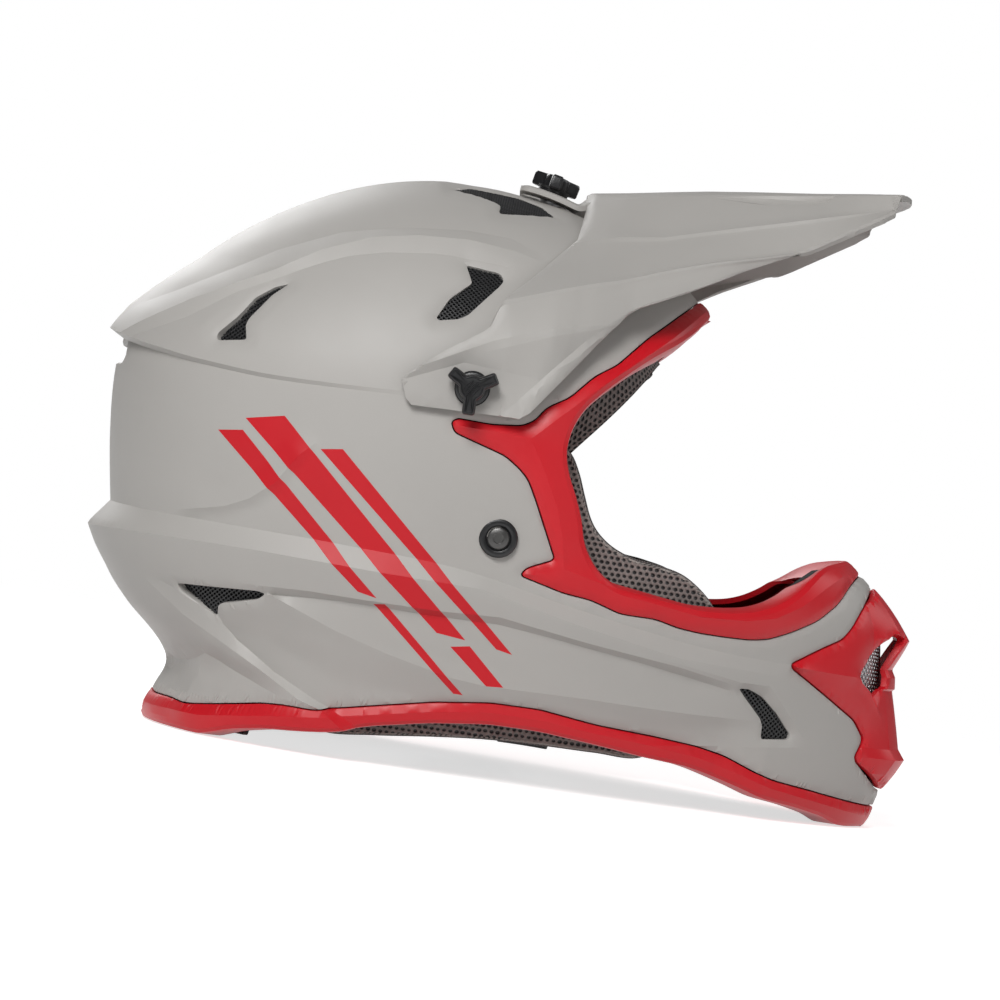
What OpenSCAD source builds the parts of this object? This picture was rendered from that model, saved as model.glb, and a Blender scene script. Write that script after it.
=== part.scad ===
// Full-face bicycle helmet with a tilting visor, held on by a double D-ring strap.
// It stands on its rim at z = 0: x points forward, z up and y to the wearer's left.
// The wearer's right side, at -y, is the one that most outlines below were drawn for.

/* [Shell] */
// Half width of the shell at its widest level
shell_half_w = 119; // [116:0.5:122]
// Half width of the shell at the lower rim
rim_half_w = 98; // [95:0.5:101]
// Height of the crown above the widest level
crown_h = 104; // [101:0.5:107]
// Wall of the moulded shell
shell_wall = 4; // [3.4:0.1:4.6]
// How far the belt's lip stands out at the back
belt_out = 10.5; // [6:0.5:12]
// How far the spoiler stands out at the back
spoiler_out = 8; // [4:0.5:9]

/* [Trims] */
// Thickness of a trim's plate
trim_t = 2.4; // [2:0.1:2.8]
// How far a trim stands proud of the shell
trim_proud = 0.5; // [0.3:0.1:0.8]
// Width of the lip that a trim turns over an edge
lip_w = 3; // [2.4:0.1:3.6]
// Depth of the lip behind the face of the shell
lip_d = 13; // [10:0.5:15]
// Thickness of a vent mesh
mesh_t = 1; // [0.8:0.1:1.4]

/* [Fits] */
// Gap between pieces that are glued, clipped or pressed together
seat_gap = 0.2; // [0.1:0.05:0.3]
// Radial clearance of a screw in its bore
run_gap = 0.05; // [0.03:0.01:0.1]

/* [Visor] */
// Thickness of the visor
visor_t = 3; // [2.6:0.1:3.4]
// Gap between an ear of the visor and the widest part of the shell
ear_gap = 1.4; // [1:0.1:2]
// Gap between the shell and the tongue of the visor
tongue_gap = 3; // [2.6:0.1:3.6]
// Width of the tongue
tongue_w = 44; // [38:1:48]
// Travel of the visor above its rest position, in degrees
visor_up = 2; // [1:0.5:2.5]
// Travel of the visor below its rest position, in degrees
visor_down = 4; // [2:0.5:4.5]

/* [Screws] */
// Diameter of a screw's stem
stem_d = 6; // [5:0.5:7]
// Diameter of the round foot of a thumb screw
foot_d = 13.5; // [12:0.5:15]
// Distance from a screw's axis to the end of a lobe
lobe_reach = 11; // [10:0.5:12]
// Height of a thumb screw's head
head_h = 8; // [7:0.5:9]
// Diameter of an insert's flange
insert_d = 13; // [12:0.5:14]
// Diameter of an insert's barrel
barrel_d = 9; // [8.6:0.2:10.6]
// Thickness of the washer under a screw
washer_t = 1; // [0.8:0.1:1.5]

/* [Strap] */
// Width of the strap's webbing
strap_w = 22; // [18:1:25]
// Thickness of the webbing
strap_t = 1.8; // [1.4:0.1:2.2]
// Diameter of a strap rivet's cap
cap_d = 9; // [8:0.5:10]
// Diameter of the ring under the cap
ring_d = 16; // [15:0.5:18]
// Diameter of the wire of a D-ring
wire_d = 4; // [3:0.25:4.5]

/* [Padding] */
// Thickness of the crown and brow pads
pad_t = 9; // [7:0.5:10]
// Thickness of a cheek pad
cheek_t = 20; // [16:1:22]
// Thickness of the neck roll
roll_t = 15; // [12:1:17]
// Half width of the head space in the liner
head_half_w = 85; // [82:0.5:87]
// Half length of the head space in the liner
head_half_l = 108; // [105:0.5:110]
// Height of the head space above the widest level
head_h_up = 75; // [72:0.5:77]

/* [Hidden] */
far = 400;
wide_z = 148;
around = 34;
fine = 32;
// The outlines and rows below are drawings. What they were drawn for: the widest level, the crown
// above it, the half width and the height of the head space. lift() takes a drawn height to the
// real one, so that all of them follow the shell where its heights change.
drawn = [148, 104, 119, 75];
low_h = 160 * wide_z / drawn[0];
function lift(z) =
    z > drawn[0] ? wide_z + (z - drawn[0]) * crown_h / drawn[1] : z * wide_z / drawn[0];

// Splines through keys of [place, value], flat beyond the first and the last key.
function span(keys, t, i = 0) =
    i >= len(keys) - 2 || t < keys[i + 1][0] ? i : span(keys, t, i + 1);
function slope(keys, i) =
    let (a = keys[max(i - 1, 0)], b = keys[min(i + 1, len(keys) - 1)])
    (b[1] - a[1]) / (b[0] - a[0]);
function spline(keys, t) =
    let (
        u = min(max(t, keys[0][0]), keys[len(keys) - 1][0]),
        i = span(keys, u),
        h = keys[i + 1][0] - keys[i][0],
        s = (u - keys[i][0]) / h,
        a = slope(keys, i) * h,
        b = slope(keys, i + 1) * h
    )
    (2 * s ^ 3 - 3 * s ^ 2 + 1) * keys[i][1] + (s ^ 3 - 2 * s ^ 2 + s) * a
    + (3 * s ^ 2 - 2 * s ^ 3) * keys[i + 1][1] + (s ^ 3 - s ^ 2) * b;

// A level is 0 where the shell is widest, 90 at the crown and negative below.
function level(z) =
    z > wide_z ? asin(min(1, (z - wide_z) / crown_h)) : (z - wide_z) / low_h * 90;
function height(v) = v > 0 ? wide_z + crown_h * sin(v) : wide_z + v / 90 * low_h;

// Plan of the shell at each height: middle, reach back, reach forward, half width and the
// exponents of the curves that join them. Above the widest level they close like a cosine.
function keyed(list) = [for (k = list) [level(lift(k[0])), k[1]]];
crown_z = wide_z + crown_h;
mid_keys = keyed([
    [-12, -46], [drawn[0], -46], [184, -43.5], [214, -41], [242, -38.7], [drawn[0] + drawn[1], -38],
]);
back_keys = keyed([
    [-12, 97], [2, 102], [12, 99.5], [29, 96], [52, 118], [70, 126], [90, 129.7], [121, 134.7],
    [drawn[0], 136.8], [184, 134.6], [200, 130], [214, 127.2], [235, 123.5], [drawn[0] + drawn[1], 124],
]);
fore_keys = keyed([
    [-12, 210], [0, 217], [10, 221], [20, 223.2], [36, 223], [70, 219.5], [88, 216], [105, 205],
    [115, 191.5], [130, 176.5], [drawn[0], 161], [172, 149], [197, 140], [220, 139.5],
    [231, 134.5], [243, 131], [drawn[0] + drawn[1], 124],
]);
side_fall = (shell_half_w - rim_half_w) / 21;
side_keys = keyed([
    [-12, rim_half_w - 2], [0, rim_half_w], [30, rim_half_w + 6 * side_fall],
    [60, rim_half_w + 11.5 * side_fall], [90, rim_half_w + 16.5 * side_fall],
    [120, rim_half_w + 20.3 * side_fall], [drawn[0], shell_half_w], [203, shell_half_w],
    [drawn[0] + drawn[1], shell_half_w + 1],
]);
round_back = keyed([[-12, 2.2], [drawn[0], 2.3], [238, 2.15], [drawn[0] + drawn[1], 2.05]]);
round_fore = keyed([
    [-12, 1.55], [60, 1.55], [110, 1.7], [drawn[0], 1.95], [238, 2.1], [drawn[0] + drawn[1], 2.05],
]);
nose_power = 2.1;

function plan(v) =
    let (c = v > 0 ? cos(v) : 1)
    [
        spline(mid_keys, v), spline(back_keys, v) * c, spline(fore_keys, v) * c,
        spline(side_keys, v) * c, spline(round_back, v), spline(round_fore, v),
    ];
function half_of(p, x) =
    x > p[0]
        ? p[3] * max(0, 1 - ((x - p[0]) / p[2]) ^ nose_power) ^ (1 / p[5])
        : p[3] * max(0, 1 - ((p[0] - x) / p[1]) ^ p[4]) ^ (1 / p[4]);
// Half width of the bare shell at a point of the side view.
function skin(x, z) = half_of(plan(level(z)), x);
function skin_at(p, b) =
    let (x = p[0] + (cos(b) > 0 ? p[2] : p[1]) * cos(b))
    [x, sign(sin(b)) * half_of(p, x)];
function skin_point(b, v) = let (q = skin_at(plan(v), b)) [q[0], q[1], height(v)];
function unit(a) = a / norm(a);
// Outward direction of the shell, from its neighbours round and up.
function outward(b, v) =
    let (w = min(v, 88))
    unit(cross(
        skin_point(b + 2, w) - skin_point(b - 2, w),
        skin_point(b, w + 1.5) - skin_point(b, w - 1.5)
    ));

// Lines of the side view that rows of the shell follow: the top of the belt and the spoiler's edge.
belt_keys = [
    [-186, 91], [-147, 90], [-103, 89.6], [-69, 89], [-18, 86.5], [37, 76.7], [97, 68.6], [190, 67],
];
belt_out_keys = [
    [-175, belt_out], [-146, 0.62 * belt_out], [-102, 0.5 * belt_out], [-40, 0.42 * belt_out],
    [40, 0.3 * belt_out], [130, 0.05 * belt_out], [150, 0],
];
spoiler_keys = [[-184, 162], [-171, 158.5], [-157, 156], [-138, 153.5], [-105, 151.5], [-42, 153.5]];
spoiler_out_keys = [
    [-182, spoiler_out], [-165, 0.55 * spoiler_out], [-138, 0.3 * spoiler_out],
    [-90, 0.15 * spoiler_out], [-42, 0],
];
belt_z = 90;
spoiler_z = 152;
// Rows of the shell: height, share of the belt line, share of the spoiler line,
// share of the belt's reach and share of the spoiler's reach.
rows = [
    [-12, 0, 0, 0, 0], [3, 0, 0, 0, 0], [18, 0, 0, 0, 0], [34, 0.1, 0, 0, 0], [51, 0.6, 0, 0.08, 0],
    [64, 0.9, 0, 0.4, 0], [belt_z - 8, 1, 0, 1, 0], [belt_z, 1, 0, 0, 0], [103, 0.65, 0, 0, 0],
    [119, 0.2, 0, 0, 0], [136, 0, 0.6, 0, 0],
    [spoiler_z, 0, 1, 0, 0], [spoiler_z + 2, 0, 1, 0, 1], [166, 0, 0.8, 0, 0.85],
    [181, 0, 0.35, 0, 0.35], [199, 0, 0, 0, 0], [216, 0, 0, 0, 0], [230, 0, 0, 0, 0],
    [240, 0, 0, 0, 0], [247, 0, 0, 0, 0],
];
plain_rows = [for (z = [-14, 10, 34, 62, 92, 122, 150, 180, 206, 227, 243]) [z, 0, 0, 0, 0]];

function row_point(row, b, off) =
    let (
        x = skin_at(plan(level(lift(row[0]))), b)[0],
        to_belt = spline(belt_keys, x) - belt_z,
        to_spoiler = spline(spoiler_keys, x) - spoiler_z,
        v = level(lift(row[0] + row[1] * to_belt + row[2] * to_spoiler)),
        out = row[3] * spline(belt_out_keys, x) + row[4] * spline(spoiler_out_keys, x)
    )
    skin_point(b, v) + (off + out) * outward(b, v);
// The shell's form moved out by off: rows from the bottom up, closed by a point at the crown.
module form(off, list = rows, n = around) {
    m = len(list);
    points = concat(
        [for (row = list) for (i = [0:n - 1]) row_point(row, i * 360 / n, off)],
        [[spline(mid_keys, 90), 0, crown_z + off]]
    );
    walls = [
        for (j = [0:m - 2]) for (i = [0:n - 1])
            let (a = j * n + i, b = j * n + (i + 1) % n)
            each [[a, a + n, b + n], [a, b + n, b]]
    ];
    top = [for (i = [0:n - 1]) [(m - 1) * n + i, m * n, (m - 1) * n + (i + 1) % n]];
    polyhedron(points, concat([[for (i = [0:n - 1]) i]], walls, top), convexity = 8);
}
// The same form without belt and spoiler, for what lies behind the wall.
module inner_form(off) form(off, plain_rows, 28);
// A layer of the shell between two depths.
module layer(outer, inner) {
    difference() {
        form(outer);
        inner_form(inner);
    }
}
// An outline of the side view, drawn through the whole width or on one side.
module prism(points, grow = 0, side = 0) {
    translate([0, side * far / 4, 0])
        rotate([90, 0, 0])
            linear_extrude(side == 0 ? far : far / 2, center = true)
                offset(delta = grow) polygon([for (p = points) [p[0], lift(p[1])]]);
}
module both() {
    children();
    mirror([0, 1, 0]) children();
}

// Outlines of the side view as [x, z].
port_edge = [
    [far, 211], [71.5, 210.5], [64.5, 200.5], [57, 193], [46, 184.5], [37, 176], [28.5, 167.5],
    [21.5, 159.5], [17.5, 150], [16.6, 141], [19, 132.5], [24, 122.5], [27.5, 114], [29.5, 105.5],
    [33.5, 98.5], [39, 92.8], [46, 89.3], [58, 88], [72, 86.3], [82, 85.2], [96, 86.2],
    [107, 88.6], [115, 92.4], [122.5, 98.6], [128, 106], [133.5, 111.3], [145.5, 115.3], [far, 115.4],
];
eyeport_seam = [
    [far, 222], [68, 219.5], [63.5, 214.1], [50.6, 200.7], [43.5, 193.7], [31.8, 179.6],
    [23.6, 173.7], [14.4, 162.9], [5.5, 157.2], [1.7, 151.2], [-3.2, 148.2], [-15.8, 146.7],
    [-29.8, 147], [-32, 145.4], [-30.2, 141.6], [-8, 135.4], [-0.9, 130.6], [2.8, 127],
    [7.2, 119.1], [13.2, 107.2], [18.3, 97], [17.2, 95.4], [7.8, 91], [5.5, 87.9], [24.1, 83.5],
    [35.8, 82.4], [48.8, 78.5], [63.6, 78.6], [73.8, 76.3], [83, 75.5], [94.3, 75.4],
    [105.6, 75.7], [113.4, 77.2], [122.8, 81.4], [133.5, 87.5], [142.2, 96], [147.8, 105.5],
    [152.8, 110], [far, 110.2],
];
rim_edge = [
    [170, 0], [158, 0], [150, 3.8], [136, 6.8], [122, 8.7], [110, 12.4], [93, 16.8], [86, 18.1],
    [68, 19.5], [48, 21.7], [24, 23.8], [3, 23.7], [-21, 20.6], [-45, 15.6], [-62, 10.9],
    [-74, 9.3], [-90, 7.8], [-104, 4.9], [-112, 2], [-118, 0], [-150, 0],
];
rim_seam = [
    [-148, 11.3], [-134.3, 12.4], [-125.7, 11.3], [-107, 15.2], [-93, 18], [-82.6, 18.9],
    [-70.7, 18.8], [-59.3, 21], [-22, 29.3], [1.6, 33], [22, 33.3], [47, 30.1], [72, 28.7],
    [91, 27.1], [104, 24.6], [117, 19.7], [125.6, 17.2], [143, 14.6], [161.4, 11.4], [172.8, 9.6],
];
below_rim = concat([[far, 0]], rim_edge, [[-far, 0], [-far, -far], [far, -far]]);
below_seam = concat([[-far, 11.3]], rim_seam, [[far, 9], [far, -far], [-far, -far]]);
mouth_seam = [
    [far, 106], [160.5, 105.6], [155.9, 96.8], [150.7, 86], [146.9, 80.7], [139.1, 76.3],
    [132.8, 72.4], [125.6, 67.7], [126.3, 65.9], [144.4, 55.6], [158.3, 47.4], [163.7, 40.4],
    [163.8, 37.4], [161.3, 30.6], [176, 17.6], [far, 17.6],
];
crown_vent = [
    [-48.2, 246.8], [-41, 249.6], [-33, 249.2], [-20, 248.6], [-10, 246], [-3.5, 241.6],
    [-13.6, 240.3], [-26.2, 238.4], [-27.1, 239.3], [-26.8, 242.5], [-31.6, 244.4], [-39.3, 246],
];
front_vent = [
    [-36.8, 212.1], [-22.3, 210.9], [-20.1, 208.1], [-21.4, 205.4], [-32.5, 190.8],
    [-36.2, 188.4], [-44, 186.6], [-45.3, 187.5], [-41, 196.7], [-33, 204.7],
];
side_vent = [
    [-108.7, 192.7], [-114.7, 186.8], [-122.1, 175.4], [-123, 172.3], [-121.3, 166],
    [-133.4, 164], [-134.1, 166.7], [-127.1, 175.4], [-121.6, 184.6], [-114.3, 190.5],
];
lower_vent = [
    [-135, 62.1], [-99.8, 64.9], [-96.8, 63.9], [-99.9, 61.1], [-115.8, 56.4], [-117.1, 55],
    [-117.6, 50.7], [-119, 50.4], [-133.1, 58.8],
];
chin_vent = [
    [103.9, 54.6], [108.4, 54.9], [115.4, 52.2], [123.1, 46], [130.3, 38.1], [129.9, 35.6],
    [118, 34.3], [117.5, 35.4], [117.6, 39.8], [116.2, 42.8],
];
rear_slot = [[-far, 150], [-177.6, 150], [-176.4, 153], [-175.6, 158], [-far, 158]];
mouth_vent = [[156.9, 65.6], [165.5, 86.5], [169.2, 85], [169.2, 63], [164.6, 57.4]];

// Places of the screws and rivets.
hinge_x = -26;
hinge_z = lift(160);
rivet_x = -6;
drawn_rivet_z = 101.5;
rivet_z = lift(drawn_rivet_z);
top_tilt = 12;
shell_grey = [0.62, 0.60, 0.58];
trim_red = [0.80, 0.04, 0.08];
dark = [0.06, 0.06, 0.06];
steel = [0.62, 0.60, 0.58];
pad_grey = [0.55, 0.51, 0.50];
foam_black = [0.12, 0.12, 0.13];

// Distance from the visor's axis to the shell along a direction of the middle plane.
function inside(x, z) =
    let (p = plan(level(min(z, crown_z))))
    z < crown_z && (x > p[0] ? x - p[0] < p[2] : p[0] - x < p[1]);
function reach(tilt, a = 60, b = 160, k = 0) =
    let (m = (a + b) / 2)
    k > 16 ? m : inside(hinge_x + m * sin(tilt), hinge_z + m * cos(tilt))
        ? reach(tilt, m, b, k + 1) : reach(tilt, a, m, k + 1);
crown_r = reach(top_tilt);
tongue_r = crown_r + tongue_gap;
ear_y = shell_half_w + ear_gap;
ear_face = ear_y + visor_t;
washer_y = ear_face + seat_gap / 2;
foot_y = washer_y + washer_t + seat_gap / 2;
washer_r = tongue_r + visor_t + seat_gap / 2;
foot_r = washer_r + washer_t + seat_gap / 2;
// An insert's flange lies behind the wall, a little free of its curve, and its barrel goes through.
flange_t = 1.6;
wall_gap = 3.2;
insert_y = skin(hinge_x, hinge_z) - shell_wall - wall_gap - flange_t;
insert_r = crown_r - shell_wall - wall_gap - flange_t;
stem_past = 2;
boss_d = 18;
boss_h = tongue_gap - 0.8;
// A rivet goes through the ring, the wall, the strap and the plate.
rivet_y = skin(rivet_x, rivet_z);
rivet_d = 5;
ring_h = 2.5;
ring_set = 1;
strap_room = 3.4;
strap_y = rivet_y - shell_wall - strap_room - strap_t / 2;
plate_t = 1.5;
plate_w = 18;
plate_y = strap_y - strap_t / 2 - seat_gap - plate_t;
// Bores through the wall start this far inside it and run on this far.
bore_past = 5;
bore_h = 25;

module at_top(r) {
    translate([hinge_x, 0, hinge_z])
        rotate([0, top_tilt, 0])
            translate([0, 0, r])
                children();
}
// A frame whose +z points out of the shell at a side screw or rivet.
module at_side(x, z, y, side) {
    translate([x, side * y, z])
        rotate([-90 * side, 0, 0])
            children();
}

module outer_shell() {
    color(shell_grey) difference() {
        resize([0, 0, 0]) difference() {
            union() {
                layer(0, -shell_wall);
                // The boss that carries the tongue of the visor.
                at_top(crown_r - shell_wall / 2)
                    cylinder(h = shell_wall / 2 + boss_h, d = boss_d, $fn = fine);
            }
            prism(port_edge, lip_w + seat_gap);
            prism(below_rim, lip_w + seat_gap);
            difference() {
                union() {
                    prism(eyeport_seam, seat_gap);
                    prism(below_seam, seat_gap);
                    prism(mouth_seam, seat_gap);
                }
                inner_form(trim_proud - trim_t - seat_gap);
            }
            both() {
                prism(crown_vent, side = -1);
                prism(front_vent, side = -1);
                prism(side_vent, side = -1);
                prism(lower_vent, side = -1);
                prism(chin_vent, side = -1);
            }
            prism(rear_slot);
            breath_room(0);
        }
        for (s = [-1, 1]) {
            at_side(hinge_x, hinge_z, insert_y - bore_past, s)
                cylinder(h = bore_h, d = barrel_d + 2 * seat_gap, $fn = fine);
            at_side(rivet_x, rivet_z, plate_y - bore_past, s)
                cylinder(h = bore_h, d = rivet_d + 2 * seat_gap, $fn = fine);
            at_side(rivet_x, rivet_z, rivet_y - ring_set, s)
                cylinder(h = bore_h, d = ring_d + 2 * seat_gap, $fn = fine);
        }
        at_top(insert_r - bore_past) cylinder(h = bore_h, d = barrel_d + 2 * seat_gap, $fn = fine);
    }
}
module eyeport_trim() {
    color(trim_red) resize([0, 0, 0]) union() {
        difference() {
            intersection() {
                prism(eyeport_seam);
                layer(trim_proud, trim_proud - trim_t);
            }
            prism(port_edge);
        }
        intersection() {
            difference() {
                prism(port_edge, lip_w);
                prism(port_edge);
            }
            layer(trim_proud, -lip_d);
        }
    }
}
module base_trim() {
    color(trim_red) resize([0, 0, 0]) union() {
        difference() {
            intersection() {
                prism(below_seam);
                layer(trim_proud, trim_proud - trim_t);
            }
            prism(below_rim);
        }
        intersection() {
            difference() {
                prism(below_rim, lip_w);
                prism(below_rim);
            }
            layer(trim_proud, 2 - lip_d);
        }
    }
}

// The mouthpiece stands out of the shell in two beaks, one over and one under the vents.
mouth_out = [
    [14, 0], [17.6, 0.4], [25, 4.6], [31.8, 8], [36, 5], [61, 0.8], [62, 2], [67, 2],
    [70.2, 0.6], [83.7, 8.2], [88.3, 6.3], [105.3, 0.6], [110, 0],
];
mouth_half = 27;
mouth_span = 42;
mouth_steps = 14;
function mouth_point(b, z, deep) =
    let (
        v = level(lift(z)),
        p = skin_point(b, v),
        out = lookup(z, mouth_out) * max(0, 1 - (abs(p[1]) / mouth_half) ^ 1.5)
    )
    p + [out, 0, 0] + (deep ? trim_proud - trim_t : trim_proud) * outward(b, v);
// A closed sheet between two grids of points that lie row by row, the first one outside.
module sheet(front, back) {
    m = len(front);
    n = len(front[0]);
    points = concat([for (r = front) each r], [for (r = back) each r]);
    rear = m * n;
    skins = [
        for (j = [0:m - 2]) for (i = [0:n - 2])
            let (a = j * n + i, b = a + 1, c = a + n, d = c + 1)
            each [[a, c, d], [a, d, b], [rear + a, rear + d, rear + c], [rear + a, rear + b, rear + d]]
    ];
    ends = [
        for (i = [0:n - 2])
            let (a = i, b = i + 1, c = (m - 1) * n + i, d = c + 1)
            each [[a, b, rear + b], [a, rear + b, rear + a], [c, rear + d, d], [c, rear + c, rear + d]]
    ];
    flanks = [
        for (j = [0:m - 2])
            let (a = j * n, b = a + n, c = a + n - 1, d = c + n)
            each [[a, rear + b, b], [a, rear + a, rear + b], [c, d, rear + d], [c, rear + d, rear + c]]
    ];
    polyhedron(points, concat(skins, ends, flanks), convexity = 8);
}
module mouthpiece() {
    turns = [for (i = [0:mouth_steps]) mouth_span * (2 * i / mouth_steps - 1)];
    color(trim_red) resize([0, 0, 0]) difference() {
        intersection() {
            sheet(
                [for (k = mouth_out) [for (b = turns) mouth_point(b, k[0], false)]],
                [for (k = mouth_out) [for (b = turns) mouth_point(b, k[0], true)]]
            );
            prism(mouth_seam);
        }
        both() prism(mouth_vent, side = -1);
    }
}

// Meshes lie against the inside of the wall, over their vents.
mesh_lap = 3;
module backing() {
    difference() {
        inner_form(-shell_wall - seat_gap);
        inner_form(-shell_wall - seat_gap - mesh_t);
    }
}
module vent_mesh(points, inner_y = 0) {
    color(dark) resize([0, 0, 0]) both() intersection() {
        backing();
        translate([0, -inner_y, 0]) prism(points, mesh_lap, side = -1);
    }
}
module crown_vent_meshes() vent_mesh(crown_vent, boss_d / 2 + 1);
module front_vent_meshes() vent_mesh(front_vent);
module side_vent_meshes() vent_mesh(side_vent);
module lower_vent_meshes() vent_mesh(lower_vent);
module chin_vent_meshes() vent_mesh(chin_vent);
slot_half = 60;
slot_from = 150;
module rear_slot_mesh() {
    color(steel) resize([0, 0, 0]) intersection() {
        backing();
        prism(rear_slot, mesh_lap);
        translate([-far, -slot_half, 0]) cube([far - slot_from, 2 * slot_half, far]);
    }
}
// The breathing hole of the chin bar, behind the mouthpiece.
breath_w = 64;
breath_z = 54;
breath_h = 36;
breath_x = 130;
module breath_room(grow) {
    low = lift(breath_z) - grow;
    translate([breath_x, -breath_w / 2 - grow, low])
        cube([far / 2, breath_w + 2 * grow, lift(breath_z + breath_h) + grow - low]);
}
module mouth_mesh() {
    color(steel) resize([0, 0, 0]) intersection() {
        backing();
        breath_room(mesh_lap);
    }
}

// The visor's lines, each as [x, y, z] down its right half: the edge of the top plate, the edge
// of the side, the shoulder, the bend above the ear and the lower edge.
crown_line = hinge_z + tongue_r;
ridge_keys = [[7, 4], [27, 7], [61, 12.8], [80, 15.3], [107, 18.6], [126, 21], [150, 23.6]];
plate_line = [
    [-60, 27, -7], [8, 27, -4.6], [12, 30, -1.4], [26, 34, 2.2], [44, 38, 6], [60, 40, 8.7],
    [80, 42, 12], [107, 46, 15.5], [126, 50, 18.5], [150, 52, 22],
];
edge_line = [
    [-60, 69, -26], [7, 68, -22.4], [20, 67, -18.6], [43, 66, -15], [58, 64, -10.5],
    [104, 62, 2.7], [137, 56, 12.9], [150, 53, 16.8],
];
shoulder_line = [
    [-60, 123, -70], [-30, 123, -59], [-17, 119, -54], [3, 109, -46.5], [28, 96, -37.4],
    [49, 87, -28.8], [67, 82, -22.6], [86, 78, -17.4], [100, 75, -13], [106, 74, -11],
    [133, 66, 6.5], [150, 54, 15],
];
bend_line = [
    [-60, 123, -93], [-53, 123, -91.6], [-39, 123, -84], [-29, 123, -78.5], [-14, 123, -72.5],
    [3, 119, -65.6], [22, 108, -59], [33, 99, -49], [57, 86, -37], [78, 78, -25], [97, 74, -17],
    [108, 73, -10.6], [133, 65.6, 6.2], [150, 53.6, 14.6],
];
low_line = [
    [-60, 123, -112], [-1, 123, -106], [6, 120, -94], [22, 108, -71], [33, 98, -56],
    [57, 83, -42], [78, 75.5, -29], [97, 72, -20], [108, 72.6, -11.6], [133, 65.2, 5.6],
    [150, 53.2, 14],
];
visor_x = [-58, -42, -30, -18, -6, 3, 8, 20, 32, 44, 57, 72, 88, 104, 120, 136, 150];
// How the sheet's inner face leaves each line, as shares of the thickness across and down.
line_in = [[0.3, 1], [0.75, 0.75], [0.95, 0.35], [1, 0], [1, 0]];
visor_lines = [plate_line, edge_line, shoulder_line, bend_line, low_line];
widen = shell_half_w / drawn[2];
ear_room = ear_face - 123 * widen;
ear_end = 10;
drawn_line = 251.6;
function line_z(z) = crown_line - lift(drawn_line) + lift(drawn_line + z);
function on_line(k, x) =
    let (line = visor_lines[k])
    [
        x,
        widen * lookup(x, [for (p = line) [p[0], p[1]]]) + (x < ear_end ? ear_room : 0),
        line_z(lookup(x, [for (p = line) [p[0], p[2]]])),
    ];
function line_inner(k, x) = on_line(k, x) - visor_t * [0, line_in[k][0], line_in[k][1]];
function rightward(p) = [p[0], -p[1], p[2]];
visor_side = [
    [9, 300], [9, 249.1], [8.5, 244.2], [7.2, 231.2], [0.8, 223.3], [-9.9, 208.8],
    [-15.3, 202.5], [-18.7, 198.1], [-20.6, 192.7], [-22.6, 186.3], [-24.9, 183.7],
    [-39.4, 173.6], [-53.5, 161.6], [-54.9, 159.1], [-52, 152], [-49.4, 149.7], [-9, 150.8],
    [-5.4, 150.7], [-1.4, 153.7], [21.5, 186.2], [33, 200.7], [37.2, 204.3], [57.1, 214.8],
    [78.4, 227.1], [96.6, 236.3], [107.9, 243.4], [133.4, 260.3], [139.7, 264.8], [200, 300],
];
visor_front = [
    [-far, -far], [120, -far], [133, -70], [140, -54], [146, -34], [149, -16], [150, 0],
    [149, 16], [146, 34], [140, 54], [133, 70], [120, far], [-far, far],
];
tongue_tip = 3.6;
tongue_root = 26;
module tongue_arc(from, to, wide, inner, outer) {
    translate([hinge_x, 0, hinge_z])
        rotate([90, 0, 0])
            linear_extrude(wide, center = true)
                intersection() {
                    difference() {
                        circle(r = outer, $fn = 180);
                        circle(r = inner, $fn = 180);
                    }
                    polygon([[0, 0], far * [sin(from), cos(from)], far * [sin(to), cos(to)]]);
                }
}
module visor() {
    slot_half = asin((stem_d / 2 + 0.7) / tongue_r);
    color(shell_grey) difference() {
        resize([0, 0, 0]) union() {
            intersection() {
                union() {
                    both() sheet(
                        [for (x = visor_x) [for (k = [0:4]) rightward(on_line(k, x))]],
                        [for (x = visor_x) [for (k = [0:4]) rightward(line_inner(k, x))]]
                    );
                    sheet(
                        [for (x = visor_x) if (x > 5) [for (f = plate_f) plate_point(x, f, 0)]],
                        [for (x = visor_x) if (x > 5) [for (f = plate_f) plate_point(x, f, visor_t)]]
                    );
                }
                prism(visor_side);
                linear_extrude(far) polygon(visor_front);
            }
            difference() {
                union() {
                    tongue_arc(tongue_tip, tongue_root, tongue_w, tongue_r, tongue_r + visor_t);
                    sheet(
                        [for (x = web_x) [for (y = web_y) [x, y, plate_z(x, y) - visor_t / 2]]],
                        [for (x = web_x) [for (y = web_y) [x, y, tongue_z(x)]]]
                    );
                }
                tongue_arc(
                    top_tilt - visor_down - slot_half, top_tilt + visor_up + slot_half,
                    stem_d + 1, tongue_r - visor_t, tongue_r + 2 * visor_t
                );
            }
        }
        at_side(hinge_x, hinge_z, -far, 1) cylinder(h = 2 * far, d = stem_d + 2 * run_gap, $fn = fine);
    }
}
plate_f = [-1, -0.7, -0.35, 0, 0.35, 0.7, 1];
// The top plate bulges between its edges; f runs from -1 on the left to 1 on the right.
function plate_point(x, f, down) =
    let (e = on_line(0, x), top = line_z(lookup(x, ridge_keys)))
    [x, -f * e[1], e[2] + (top - e[2]) * (1 - abs(f) ^ 2.5) - down];
// A web joins the root of the tongue to the top plate.
web_x = [9, 14];
web_y = tongue_w / 2 * [1, 0.5, 0, -0.5, -1];
function plate_z(x, y) = plate_point(x, y / on_line(0, x)[1], 0)[2];
function tongue_z(x) = hinge_z + sqrt((tongue_r + visor_t / 2) ^ 2 - (x - hinge_x) ^ 2);

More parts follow.
